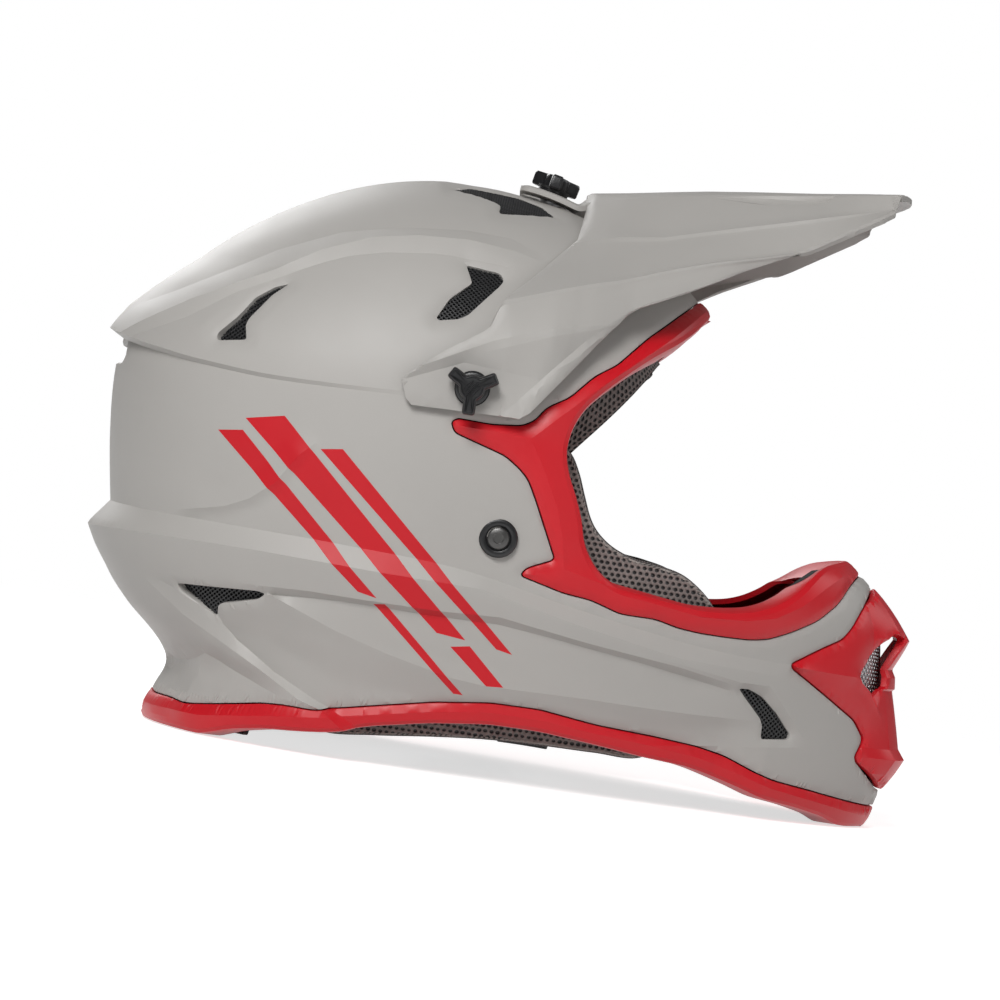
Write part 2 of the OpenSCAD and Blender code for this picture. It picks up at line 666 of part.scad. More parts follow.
// A thumb screw lies along +z, with the underside of its foot at z = 0.
foot_t = 1.6;
lobe_d = 5.4;
hub_d = 10;
lobe_turns = [30, 150, 270];
module head_outline(shrink) {
    circle(d = hub_d - 2 * shrink, $fn = fine);
    for (a = lobe_turns)
        rotate(a) {
            translate([lobe_reach - lobe_d / 2, 0]) circle(d = lobe_d - 2 * shrink, $fn = 24);
            translate([0, shrink - lobe_d / 2]) square([lobe_reach - lobe_d / 2, lobe_d - 2 * shrink]);
        }
}
module thumb_screw(stem_l) {
    color(dark) {
        cylinder(h = foot_t, d = foot_d, $fn = fine);
        linear_extrude(head_h - 1) head_outline(0);
        linear_extrude(head_h) head_outline(0.8);
        translate([0, 0, -stem_l]) cylinder(h = stem_l, d = stem_d, $fn = fine);
    }
}
module side_screw(side) {
    at_side(hinge_x, hinge_z, foot_y, side) thumb_screw(foot_y - insert_y + stem_past);
}
module side_screw_right() side_screw(-1);
module side_screw_left() side_screw(1);
module top_screw() at_top(foot_r) thumb_screw(foot_r - insert_r + stem_past);
module washer() {
    difference() {
        cylinder(h = washer_t, d = foot_d + 1, $fn = fine);
        translate([0, 0, -1]) cylinder(h = washer_t + 2, d = stem_d + 2 * run_gap, $fn = fine);
    }
}
module screw_washers() {
    color(dark) {
        for (s = [-1, 1]) at_side(hinge_x, hinge_z, washer_y, s) washer();
        at_top(washer_r) washer();
    }
}
module insert(barrel_l) {
    color(steel) difference() {
        union() {
            cylinder(h = flange_t, d = insert_d, $fn = fine);
            cylinder(h = barrel_l, d = barrel_d, $fn = fine);
        }
        translate([0, 0, -1]) cylinder(h = barrel_l + 2, d = stem_d + 2 * run_gap, $fn = fine);
    }
}
module screw_inserts() {
    for (s = [-1, 1]) at_side(hinge_x, hinge_z, insert_y, s) insert(ear_y - seat_gap - insert_y);
    at_top(insert_r) insert(crown_r + boss_h - insert_r);
}

// Rivets through the wall, each with a ring outside and a plate inside.
cap_h = 2;
rivet_end = 1;
module strap_rivets() {
    color(steel) for (s = [-1, 1]) {
        at_side(rivet_x, rivet_z, rivet_y - ring_set + ring_h, s) {
            cylinder(h = cap_h - 0.6, d = cap_d, $fn = fine);
            cylinder(h = cap_h, d = cap_d - 1.6, $fn = fine);
        }
        at_side(rivet_x, rivet_z, plate_y - rivet_end, s) {
            cylinder(h = rivet_y - ring_set + ring_h - plate_y + 2 * rivet_end, d = rivet_d, $fn = fine);
            cylinder(h = rivet_end, d = rivet_d + 3, $fn = fine);
        }
    }
}
module rivet_rings() {
    color(dark) for (s = [-1, 1])
        at_side(rivet_x, rivet_z, rivet_y - ring_set, s) difference() {
            cylinder(h = ring_h, d = ring_d, $fn = fine);
            translate([0, 0, -1]) cylinder(h = ring_h + 2, d = rivet_d + 2 * seat_gap, $fn = fine);
        }
}
module rivet_plates() {
    color(steel) for (s = [-1, 1])
        at_side(rivet_x, rivet_z, plate_y, s) difference() {
            translate([-plate_w / 2, -plate_w / 2, 0]) cube([plate_w, plate_w, plate_t]);
            translate([0, 0, -1]) cylinder(h = plate_t + 2, d = rivet_d + 2 * seat_gap, $fn = fine);
        }
}

// The head space in the liner: straight walls below the widest level and a dome above.
space_x = -44;
dome_power = 0.7;
space_back = [
    [lift(-20), head_half_l - 26], [lift(40), head_half_l - 16], [lift(80), head_half_l - 6],
    [lift(120), head_half_l - 1], [wide_z, head_half_l],
];
space_side = [
    [lift(-20), 0.9 * head_half_w], [lift(60), 0.95 * head_half_w], [lift(120), head_half_w],
    [wide_z, head_half_w],
];
space_levels = [-90, -60, -35, -12, 0, 16, 31, 45, 58, 70, 81];
function space_point(b, v, in = 0) =
    let (
        z = v > 0 ? wide_z + (head_h_up - in) * sin(v) : wide_z + v / 90 * low_h,
        c = v > 0 ? cos(v) ^ dome_power : 1,
        along = (cos(b) > 0 ? head_half_l : spline(space_back, z)) - in
    )
    [space_x + along * c * cos(b), (spline(space_side, z) - in) * c * sin(b), z];
module head_space(in = 0) {
    n = 36;
    m = len(space_levels);
    points = concat(
        [for (v = space_levels) for (i = [0:n - 1]) space_point(i * 360 / n, v, in)],
        [[space_x, 0, wide_z + head_h_up - in]]
    );
    walls = [
        for (j = [0:m - 2]) for (i = [0:n - 1])
            let (a = j * n + i, b = j * n + (i + 1) % n)
            each [[a, a + n, b + n], [a, b + n, b]]
    ];
    top = [for (i = [0:n - 1]) [(m - 1) * n + i, m * n, (m - 1) * n + (i + 1) % n]];
    polyhedron(points, concat([[for (i = [0:n - 1]) i]], walls, top), convexity = 8);
}

// Depths behind the face of the shell: the liner's outside and the inside of the blocks.
liner_gap = 0.9;
liner_in = shell_wall + mesh_t + liner_gap;
block_in = 22;
pad_gap = 0.3;
block_gap = 0.6;
liner_foot = [
    [-far, 50], [-86, 50], [-80, 62], [-72, 100], [-60, 124], [-34, 148], [0, 153], [24, 158],
    [far, 158], [far, -far], [-far, -far],
];
block_end = 76;
block_side = [
    [-79, -20], [-79, 60], [-71.2, 99.6], [-59.4, 123.4], [-33.8, 147.4], [0, 152.4], [24, 157.4],
    [block_end, 157.4], [block_end, -20],
];
pocket_d = insert_d + 2;
module eps_liner() {
    color(foam_black) resize([0, 0, 0]) difference() {
        inner_form(-liner_in);
        head_space();
        prism(liner_foot);
        prism(port_edge, lip_w + 2 * seat_gap);
        for (s = [-1, 1])
            at_side(hinge_x, hinge_z, insert_y - stem_past - 1, s)
                cylinder(h = bore_h, d = pocket_d, $fn = 24);
        at_top(insert_r - stem_past - 1) cylinder(h = bore_h, d = pocket_d, $fn = 24);
    }
}
module rim_and_port_room() {
    prism(below_rim, lip_w + 2 * seat_gap);
    prism(port_edge, lip_w + 2 * seat_gap);
}

// The strap's way on the right, as [x, depth behind the shell's face, z], down to the jaw.
strap_way = [
    [-6, 0, 101.5], [-5.6, 0, 91], [-4.4, 1.2, 78], [-2.6, 3, 64], [-0.4, 6.5, 53], [2.4, 11.5, 45],
    [5.4, 19, 39], [8.4, 28, 34.6], [11.6, 38, 31], [14.4, 48, 27.6],
];
strap_depth = rivet_y - strap_y;
function strap_at(x, deep, z) = [x, deep - (deep < 1 ? strap_y : skin(x, z) - strap_depth), z];
route = [for (p = strap_way) strap_at(p[0], p[1], lift(p[2]))];
ring_x = 18;
ring_y = -34;
ring_z = [18.5, 25];
ring_r = strap_w / 2 + 6;
bar_d = wire_d + 0.4;
channel_side = 2.5;
slot_z = [26.5, 46];
function way_edge(list, side) = [for (p = list) [p[0] + side * (strap_w / 2 + channel_side), p[2]]];
function backwards(list) = [for (i = [len(list) - 1:-1:0]) list[i]];
channel_w = strap_w + 2 * channel_side;
channel_top = drawn_rivet_z + 16;
channel = concat(
    [[rivet_x - channel_w / 2, channel_top]], way_edge(strap_way, -1),
    backwards(way_edge(strap_way, 1)), [[rivet_x + channel_w / 2, channel_top]]
);
channel_in = block_in - 4;
strap_out_z = 60;
// Everything between two drawn heights, from an x on.
module slab(low, high, from = -far) {
    translate([from, -far, lift(low)]) cube([2 * far, 2 * far, lift(high) - lift(low)]);
}
module cheek_block(side) {
    color(foam_black) resize([0, 0, 0]) difference() {
        intersection() {
            difference() {
                inner_form(-liner_in);
                inner_form(-block_in);
            }
            prism(block_side, side = side);
        }
        rim_and_port_room();
        // The strap runs down behind the wall, then in through the block.
        difference() {
            prism(channel);
            intersection() {
                inner_form(-channel_in);
                slab(strap_out_z, far);
            }
        }
    }
}
module cheek_block_right() cheek_block(-1);
module cheek_block_left() cheek_block(1);
chin_top = 130;
chin_lap = 4;
module chin_foam() {
    color(foam_black) resize([0, 0, 0]) difference() {
        intersection() {
            difference() {
                inner_form(-liner_in);
                inner_form(-block_in);
            }
            slab(-far, chin_top, block_end + block_gap);
        }
        rim_and_port_room();
        breath_room(-chin_lap);
    }
}

// Cushions. A cushion is full over most of its face and draws in towards its edge.
function swell(s) = (1 - s ^ 4) ^ 0.6;
cheek_mid = [10, 66];
cheek_edge = [
    [-66, 10.4], [-45, 12.2], [-20, 15.5], [2, 17.7], [25, 18.6], [48, 18.8], [68, 19.5], [80, 32],
    [88, 45], [90, 58], [90, 70], [90, 80], [86, 88], [74, 96.5], [61, 99.5], [51, 100.7],
    [41.7, 104], [34.6, 109], [30, 115], [26, 124], [22, 133.5], [17, 141], [8, 146], [-6, 143],
    [-16, 130], [-24, 112], [-40, 98], [-58, 84], [-70, 62], [-73, 46], [-72, 30], [-71, 18],
];
cheek_rings = [0.16, 0.34, 0.48, 0.56, 0.64, 0.78, 0.88, 0.95, 1];
cheek_groove = 0.56;
groove_t = 3;
cheek_rim = 6;
function cheek_h(s) =
    cheek_rim + (cheek_t - cheek_rim) * swell(s) - (s == cheek_groove ? groove_t : 0);
function cheek_point(p, s, h) =
    let (q = cheek_mid + s * (p - cheek_mid))
    [q[0], h - skin(q[0], lift(q[1])), lift(q[1])];
module cheek_pad(side) {
    n = len(cheek_edge);
    m = len(cheek_rings);
    face = concat(
        [for (s = cheek_rings) for (p = cheek_edge) cheek_point(p, s, block_in + cheek_h(s))],
        [cheek_point(cheek_mid, 0, block_in + cheek_t)]
    );
    rear = [for (p = cheek_edge) cheek_point(p, 1, block_in - cheek_rim)];
    rings = [
        for (j = [0:m - 2]) for (i = [0:n - 1])
            let (a = j * n + i, b = j * n + (i + 1) % n)
            each [[a, a + n, b + n], [a, b + n, b]]
    ];
    hub = [for (i = [0:n - 1]) [m * n, i, (i + 1) % n]];
    start = m * n + 1;
    walls = [
        for (i = [0:n - 1])
            let (a = (m - 1) * n + i, b = (m - 1) * n + (i + 1) % n)
            each [[a, start + i, start + (i + 1) % n], [a, start + (i + 1) % n, b]]
    ];
    color(pad_grey) resize([0, 0, 0]) difference() {
        intersection() {
            mirror([0, side > 0 ? 1 : 0, 0])
                polyhedron(
                    concat(face, rear),
                    concat(rings, hub, walls, [[for (i = [n - 1:-1:0]) start + i]]),
                    convexity = 8
                );
            inner_form(-block_in - pad_gap);
        }
        intersection() {
            prism(channel);
            slab(slot_z[0], slot_z[1]);
        }
    }
}
module cheek_pad_right() cheek_pad(-1);
module cheek_pad_left() cheek_pad(1);

// The brow pad lies on the front of the head space and hangs a little into the eye port.
brow_span = 56;
brow_high = 28;
brow_turns = [for (i = [-10:10]) i * brow_span / 10];
brow_share = [0, 0.06, 0.16, 0.32, 0.5, 0.68, 0.84, 0.94, 1];
function brow_low(b) = 187 - 47 * (abs(b) / 55) ^ 2.3;
function brow_point(b, f, t) =
    let (z = brow_low(b) + f * brow_high - drawn[0])
    space_point(b, z > 0 ? asin(z / drawn[3]) : level(lift(z + drawn[0])), t);
function brow_t(b, f) =
    let (g = min(1, abs(b) / brow_span), h = abs(2 * f - 1))
    3 + (pad_t - 3) * swell(g) * swell(h) - (abs(abs(b) - brow_span * 0.4) < 1 ? 1.5 : 0);
module brow_pad() {
    color(pad_grey) resize([0, 0, 0]) intersection() {
        sheet(
            [for (b = brow_turns) [for (f = brow_share) brow_point(b, f, brow_t(b, f))]],
            [for (b = brow_turns) [for (f = brow_share) brow_point(b, f, -4)]]
        );
        head_space(pad_gap);
    }
}

// Three crown pads run from the brow to the back of the dome.
crown_from = -118;
crown_to = 4;
crown_strip_w = 26;
crown_step = 38;
crown_share = [0, 0.08, 0.25, 0.5, 0.75, 0.92, 1];
function dome_z(x, y, in) =
    let (rho = norm([(x - space_x) / (head_half_l - in), y / (head_half_w - in)]))
    wide_z + (head_h_up - in) * sqrt(max(0, 1 - rho ^ (2 / dome_power)));
crown_past = 6;
function strip_y(mid, f) = mid + (f - 0.5) * crown_strip_w;
function strip_point(x, y, t) = [x, y, dome_z(x, y, 0) - t];
function strip_t(x, f) =
    let (g = abs(2 * (x - crown_from) / (crown_to - crown_from) - 1))
    3 + (pad_t - 3) * swell(g) * swell(abs(2 * f - 1));
module crown_pads() {
    xs = [for (i = [0:8]) crown_from + (crown_to - crown_from) * i / 8];
    color(pad_grey) resize([0, 0, 0]) intersection() {
        for (mid = [-crown_step, 0, crown_step])
            sheet(
                [for (x = xs) [for (f = crown_share) strip_point(x, strip_y(mid, f), strip_t(x, f))]],
                [for (x = xs) [for (f = crown_share) strip_point(x, strip_y(mid, f), -crown_past)]]
            );
        head_space(pad_gap);
    }
}

// The neck roll closes the back of the lower rim.
roll_in = lip_d - 1.5;
roll_low = 3.7;
roll_high = 46.6;
roll_turns = [for (i = [0:18]) 126 + 6 * i];
roll_share = [0, 0.05, 0.15, 0.32, 0.5, 0.68, 0.85, 0.95, 1];
function roll_t_at(b, f) =
    let (g = abs(b - 180) / 54, h = abs(2 * f - 1))
    3.5 + (roll_t - 3.5) * swell(g) * swell(h) - (abs(f - 0.5) < 0.01 ? 2 : 0);
function roll_point(b, f, d) =
    let (
        v = level(lift(roll_low + f * (roll_high - roll_low))),
        q = skin_point(b + 2, v) - skin_point(b - 2, v)
    )
    skin_point(b, v) - d * unit([q[1], -q[0], 0]);
module neck_roll() {
    color(dark) resize([0, 0, 0]) intersection() {
        sheet(
            [for (b = roll_turns) [for (f = roll_share) roll_point(b, f, roll_in + roll_t_at(b, f))]],
            [for (b = roll_turns) [for (f = roll_share) roll_point(b, f, roll_in - 4)]]
        );
        inner_form(-roll_in);
    }
}

// Webbing along a route, its width along x.
module ribbon(points) {
    n = len(points);
    function along(i) = unit(points[min(i + 1, n - 1)] - points[max(i - 1, 0)]);
    rings = [
        for (i = [0:n - 1])
            let (face = strap_t / 2 * unit(cross([1, 0, 0], along(i))), w = [strap_w / 2, 0, 0])
            each [points[i] - w - face, points[i] + w - face, points[i] + w + face, points[i] - w + face]
    ];
    walls = [
        for (i = [0:n - 2]) for (k = [0:3])
            let (a = 4 * i + k, b = 4 * i + (k + 1) % 4)
            each [[a, b, b + 4], [a, b + 4, a + 4]]
    ];
    last = 4 * n - 4;
    ends = [[3, 2, 1, 0], [last, last + 1, last + 2, last + 3]];
    polyhedron(rings, concat(walls, ends), convexity = 10);
}
module rivet_hole(side) {
    at_side(rivet_x, rivet_z, strap_y - bore_past, side)
        cylinder(h = 2 * bore_past, d = rivet_d + 2 * seat_gap, $fn = 24);
}
strap_top = [rivet_x, -strap_y, rivet_z + strap_w / 2];
ring_room = 0.35;
module loop_outline(r) {
    for (z = ring_z) translate([ring_y, z]) circle(r = r, $fn = 24);
    translate([ring_y - r, ring_z[0]]) square([2 * r, ring_z[1] - ring_z[0]]);
}
module strap_right() {
    mid_z = (ring_z[0] + ring_z[1]) / 2;
    color(dark) resize([0, 0, 0]) difference() {
        union() {
            ribbon(concat(
                [strap_top], route,
                [[ring_x - 1.2, ring_y - 14, 24.6], [ring_x, ring_y - 8, 22.6]],
                [[ring_x, ring_y - bar_d / 2 - ring_room - strap_t / 2, mid_z]]
            ));
            translate([ring_x - strap_w / 2, 0, 0])
                rotate([90, 0, 90])
                    linear_extrude(strap_w)
                        difference() {
                            loop_outline(bar_d / 2 + ring_room + strap_t);
                            loop_outline(bar_d / 2 + ring_room);
                        }
        }
        rivet_hole(-1);
    }
}
// The left half passes under both rings, up through them, and back over the upper one.
run_low = ring_z[0] - wire_d / 2 - 1.4 - strap_t / 2;
run_high = ring_z[1] + wire_d / 2 + 1.6 + strap_t / 2;
turn_y = ring_y + wire_d / 2 + 5;
tail_y = 24;
snap_y = 16;
tail = [
    [ring_x - 1.2, 44, 23.6], [ring_x, 34, 19.6], [ring_x, 20, run_low + 1], [ring_x, 4, run_low],
    [ring_x, ring_y + 22, run_low], [ring_x, turn_y + 4, run_low + 0.6], [ring_x, turn_y + 1, run_low + 3],
    [ring_x, turn_y, run_low + 6], [ring_x, turn_y, run_high - 5], [ring_x, turn_y + 1, run_high - 2],
    [ring_x, turn_y + 4, run_high], [ring_x, turn_y + 14, run_high + 0.2], [ring_x, 0, run_high - 0.4],
    [ring_x, snap_y - 6, run_high - 1], [ring_x, tail_y, run_high - 1],
];
module strap_left() {
    color(dark) resize([0, 0, 0]) difference() {
        ribbon(concat([for (p = concat([strap_top], route)) [p[0], -p[1], p[2]]], tail));
        rivet_hole(1);
        translate([ring_x, snap_y, run_high - bore_past])
            cylinder(h = 2 * bore_past, d = snap_stem_d + 2 * seat_gap, $fn = 24);
    }
}
snap_d = 12;
snap_stem_d = 4;
snap_t = 1.6;
module strap_snap() {
    low = run_high - 1 - strap_t / 2 - seat_gap - snap_t;
    high = run_high - 1 + strap_t / 2 + seat_gap;
    color(dark) translate([ring_x, snap_y, 0]) {
        translate([0, 0, low]) cylinder(h = snap_t, d = snap_d, $fn = fine);
        translate([0, 0, low]) cylinder(h = high - low, d = snap_stem_d, $fn = fine);
        translate([0, 0, high]) cylinder(h = snap_t, d = snap_d, $fn = fine);
    }
}
// A D-ring turns about its straight side, which lies along x in the loop of the right half.
bar_l = 2 * ring_r + bar_d;
module d_ring(z) {
    color(steel) translate([ring_x, ring_y, z]) {
        translate([-bar_l / 2, 0, 0]) rotate([0, 90, 0]) cylinder(h = bar_l, d = bar_d, $fn = fine);
        rotate_extrude(angle = 180, $fn = 40) translate([ring_r, 0]) circle(d = wire_d, $fn = 16);
    }
}
module d_ring_inner() d_ring(ring_z[0]);
module d_ring_outer() d_ring(ring_z[1]);

outer_shell();
eyeport_trim();
base_trim();
mouthpiece();
mouth_mesh();
crown_vent_meshes();
front_vent_meshes();
side_vent_meshes();
lower_vent_meshes();
chin_vent_meshes();
rear_slot_mesh();
visor();
side_screw_right();
side_screw_left();
top_screw();
screw_washers();
screw_inserts();
strap_rivets();
rivet_rings();
rivet_plates();
eps_liner();
cheek_block_right();
cheek_block_left();
chin_foam();
crown_pads();
brow_pad();
cheek_pad_right();
cheek_pad_left();
neck_roll();
strap_right();
strap_left();
d_ring_inner();
d_ring_outer();
strap_snap();
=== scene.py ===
import math

import bmesh
import bpy
import numpy as np
from mathutils import Matrix, Vector, kdtree
from mathutils.geometry import delaunay_2d_cdt


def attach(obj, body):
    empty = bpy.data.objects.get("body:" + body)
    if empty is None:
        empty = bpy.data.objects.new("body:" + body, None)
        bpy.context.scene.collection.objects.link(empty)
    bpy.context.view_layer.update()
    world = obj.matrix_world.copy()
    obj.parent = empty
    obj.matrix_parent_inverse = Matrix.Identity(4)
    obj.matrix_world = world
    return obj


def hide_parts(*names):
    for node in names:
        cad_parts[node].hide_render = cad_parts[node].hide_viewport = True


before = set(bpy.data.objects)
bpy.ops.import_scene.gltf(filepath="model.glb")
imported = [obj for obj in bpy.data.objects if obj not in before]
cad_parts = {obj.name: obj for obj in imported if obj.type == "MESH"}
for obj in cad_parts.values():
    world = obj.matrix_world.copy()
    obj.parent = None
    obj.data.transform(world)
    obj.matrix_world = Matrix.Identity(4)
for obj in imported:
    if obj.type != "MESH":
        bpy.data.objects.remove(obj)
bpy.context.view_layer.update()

scene = bpy.context.scene
MM = 0.001

# camera: it looks along y at the right side, rolled by the tilt of the photograph; lengths in mm
TILT = math.radians(9)
CAMERA_AWAY, FRAME_WIDE, SENSOR_WIDE = 1600, 440, 36
FRAME_X, FRAME_Z = -7.8, 117.1
cam_data = bpy.data.cameras.new("camera")
cam = bpy.data.objects.new("camera", cam_data)
scene.collection.objects.link(cam)
cam_data.sensor_width = SENSOR_WIDE
cam_data.lens = SENSOR_WIDE * CAMERA_AWAY / FRAME_WIDE
cam_data.clip_end = 30
cam.matrix_world = Matrix((
    (math.cos(TILT), -math.sin(TILT), 0, FRAME_X * MM),
    (0, 0, -1, -CAMERA_AWAY * MM),
    (math.sin(TILT), math.cos(TILT), 0, FRAME_Z * MM),
    (0, 0, 0, 1),
))
scene.camera = cam
scene.view_settings.view_transform = "Standard"


# form of the shell: all lengths from here on are in mm, as x, y and z of the frame
WIDE_Z, CROWN_H, LOW_H = 148.0, 104.0, 160.0
CROWN_Z = WIDE_Z + CROWN_H
HALF_W, RIM_W = 119.0, 98.0
NOSE = 2.1


def spline(keys, t):
    """Cubic through [place, value] keys, flat beyond the ends."""
    k = np.asarray(keys, float)
    x, y = k[:, 0], k[:, 1]
    n = len(x)
    lo = np.maximum(np.arange(n) - 1, 0)
    hi = np.minimum(np.arange(n) + 1, n - 1)
    m = (y[hi] - y[lo]) / (x[hi] - x[lo])
    t = np.clip(np.asarray(t, float), x[0], x[-1])
    i = np.clip(np.searchsorted(x, t, side="right") - 1, 0, n - 2)
    h = x[i + 1] - x[i]
    s = (t - x[i]) / h
    return ((2 * s**3 - 3 * s**2 + 1) * y[i] + (s**3 - 2 * s**2 + s) * m[i] * h
            + (3 * s**2 - 2 * s**3) * y[i + 1] + (s**3 - s**2) * m[i + 1] * h)


def level(z):
    """Level of a height, in degrees: 0 at the widest place, 90 at the crown and less than 0 below."""
    z = np.asarray(z, float)
    up = np.degrees(np.arcsin(np.clip((z - WIDE_Z) / CROWN_H, 0, 1)))
    return np.where(z > WIDE_Z, up, (z - WIDE_Z) / LOW_H * 90)


def height(v):
    """Height of a level."""
    v = np.asarray(v, float)
    return np.where(v > 0, WIDE_Z + CROWN_H * np.sin(np.radians(np.maximum(v, 0))), WIDE_Z + v / 90 * LOW_H)


def keyed(rows):
    """[height, value] rows as [level, value] rows."""
    return [[float(level(z)), q] for z, q in rows]


# plan sections at each height: their middle, and their reach to the back, the front and the side
FALL = (HALF_W - RIM_W) / 21
MID = keyed([[-12, -46], [148, -46], [184, -43.5], [214, -41], [242, -38.7], [CROWN_Z, -38]])
BACK = keyed([[-12, 97], [2, 102], [12, 99.5], [29, 96], [52, 118], [70, 126], [90, 129.7], [121, 134.7],
              [148, 136.8], [184, 134.6], [200, 130], [214, 127.2], [235, 123.5], [CROWN_Z, 124]])
FORE = keyed([[-12, 210], [0, 217], [10, 221], [20, 223.2], [36, 223], [70, 219.5], [88, 216], [105, 205],
              [115, 191.5], [130, 176.5], [148, 161], [172, 149], [197, 140], [220, 139.5], [231, 134.5],
              [243, 131], [CROWN_Z, 124]])
SIDE = keyed([[-12, RIM_W - 2], [0, RIM_W], [30, RIM_W + 6 * FALL], [60, RIM_W + 11.5 * FALL],
              [90, RIM_W + 16.5 * FALL], [120, RIM_W + 20.3 * FALL], [148, HALF_W], [203, HALF_W],
              [CROWN_Z, HALF_W + 1]])
# how square the plan is at the back and at the front: 2 is an ellipse
ROUND_B = keyed([[-12, 2.2], [148, 2.3], [238, 2.15], [CROWN_Z, 2.05]])
ROUND_F = keyed([[-12, 1.55], [60, 1.55], [110, 1.7], [148, 1.95], [238, 2.1], [CROWN_Z, 2.05]])


def plan(v):
    """The plan section at a level."""
    c = np.where(v > 0, np.cos(np.radians(np.minimum(v, 90))), 1)
    return (spline(MID, v), spline(BACK, v) * c, spline(FORE, v) * c, spline(SIDE, v) * c,
            spline(ROUND_B, v), spline(ROUND_F, v))


def half_of(p, x):
    """Half width of a plan section at x."""
    mid, back, fore, side, rb, rf = p
    f = np.clip((x - mid) / np.maximum(fore, 1e-6), 0, 1)
    r = np.clip((mid - x) / np.maximum(back, 1e-6), 0, 1)
    ahead = side * np.maximum(0, 1 - f**NOSE) ** (1 / rf)
    behind = side * np.maximum(0, 1 - r**rb) ** (1 / rb)
    return np.where(x > mid, ahead, behind)


def skin(x, z):
    """Half width of the bare shell at a point of the side view."""
    return half_of(plan(level(z)), np.asarray(x, float))


def skin_point(b, v):
    """Point of the right half (y negative); b is 0 in front and 180 behind, v the level."""
    b, v = np.broadcast_arrays(np.asarray(b, float), np.asarray(v, float))
    p = plan(v)
    c = np.cos(np.radians(b))
    x = p[0] + np.where(c > 0, p[2], p[1]) * c
    y = -np.sign(np.sin(np.radians(b))) * half_of(p, x)
    y = np.where((np.abs(b) < 1e-6) | (np.abs(b - 180) < 1e-6), 0.0, y)
    return np.stack([x, y, height(v)], -1)


def outward(b, v):
    """Unit normal of the bare form."""
    w = np.minimum(v, 88.0)
    du = skin_point(b + 2, w) - skin_point(b - 2, w)
    dv = skin_point(b, w + 1.5) - skin_point(b, w - 1.5)
    n = np.cross(dv, du)
    n /= np.maximum(np.linalg.norm(n, axis=-1, keepdims=True), 1e-9)
    flat = (np.abs(b) < 1e-6) | (np.abs(b - 180) < 1e-6)
    n[..., 1] = np.where(flat, 0.0, n[..., 1])
    return n / np.maximum(np.linalg.norm(n, axis=-1, keepdims=True), 1e-9)


def side_to_bv(q):
    """(x, z) of the side view to (b, v) on the right half; beyond the outline it stops at the middle plane."""
    q = np.asarray(q, float)
    v = np.clip(level(q[:, 1]), -90, 89.5)
    p = plan(v)
    dx = q[:, 0] - p[0]
    c = np.clip(dx / np.where(dx > 0, p[2], p[1]), -1, 1)
    return np.degrees(np.arccos(c)), v


# length in the unrolled half for a degree of level
PER_DEGREE = 1.8


def flat_of(b, v):
    """The unrolled half: distance from the crown and the angle b."""
    r = (90 - v) * PER_DEGREE
    across = np.where((b <= 0) | (b >= 180), 0.0, np.sin(np.radians(b)))
    return np.stack([r * np.cos(np.radians(b)), r * across], -1)


def dense(points, step, closed=False):
    """Points at most a step apart along a line of straight pieces."""
    p = np.asarray(points, float)
    if closed:
        p = np.vstack([p, p[:1]])
    out = [p[:1]]
    for a, b in zip(p[:-1], p[1:]):
        n = max(1, int(math.ceil(np.linalg.norm(b - a) / step)))
        t = np.arange(1, n + 1)[:, None] / n
        out.append(a + (b - a) * t)
    out = np.vstack(out)
    return out[:-1] if closed else out


def run_of(p):
    """Distance along a line of points, from 0 at the first."""
    return np.concatenate([[0], np.cumsum(np.linalg.norm(np.diff(p, axis=0), axis=1))])


def rounded(points, r):
    """The closed outline with its corners turned into short curves of about radius r."""
    p = np.asarray(points, float)
    n = len(p)
    out = []
    for i in range(n):
        a, c, b = p[i - 1], p[i], p[(i + 1) % n]
        ua, ub = a - c, b - c
        la, lb = np.linalg.norm(ua), np.linalg.norm(ub)
        k = min(r, 0.45 * la, 0.45 * lb)
        s, e = c + ua / la * k, c + ub / lb * k
        for t in np.linspace(0, 1, 4):
            out.append((1 - t) ** 2 * s + 2 * t * (1 - t) * c + t * t * e)
    return np.array(out)


def crop_side(points):
    """Keeps far points of an outline near the object, so that it can be resampled."""
    return np.clip(np.asarray(points, float), [-215, -40], [215, 262])


def inside(points, poly):
    """Even-odd test of many points against a closed outline."""
    x, y = points[:, 0], points[:, 1]
    odd = np.zeros(len(points), bool)
    for (x0, y0), (x1, y1) in zip(poly, np.roll(poly, -1, axis=0)):
        if y0 == y1:
            continue
        odd ^= ((y0 > y) != (y1 > y)) & (x < (x1 - x0) * (y - y0) / (y1 - y0) + x0)
    return odd


def seg_distance(q, line, closed=False):
    """Of many side-view points: distance to a line, side of its nearest piece, and share along it."""
    p = np.asarray(line, float)
    if closed:
        p = np.vstack([p, p[:1]])
    best = np.full(len(q), 1e9)
    sign = np.zeros(len(q))
    where = np.zeros(len(q))
    run = 0.0
    for a, b in zip(p[:-1], p[1:]):
        d = b - a
        length = np.linalg.norm(d)
        if length < 1e-9:
            continue
        t = np.clip(((q - a) @ d) / length**2, 0, 1)
        e = q - a - t[:, None] * d
        dist = np.hypot(e[:, 0], e[:, 1])
        side = np.sign(d[0] * (q[:, 1] - a[1]) - d[1] * (q[:, 0] - a[0]))
        better = dist < best
        best = np.where(better, dist, best)
        sign = np.where(better, side, sign)
        where = np.where(better, run + t * length, where)
        run += length
    return best, sign, where / run


def smooth(t):
    """0 to 1 with level ends."""
    t = np.clip(t, 0, 1)
    return t * t * (3 - 2 * t)


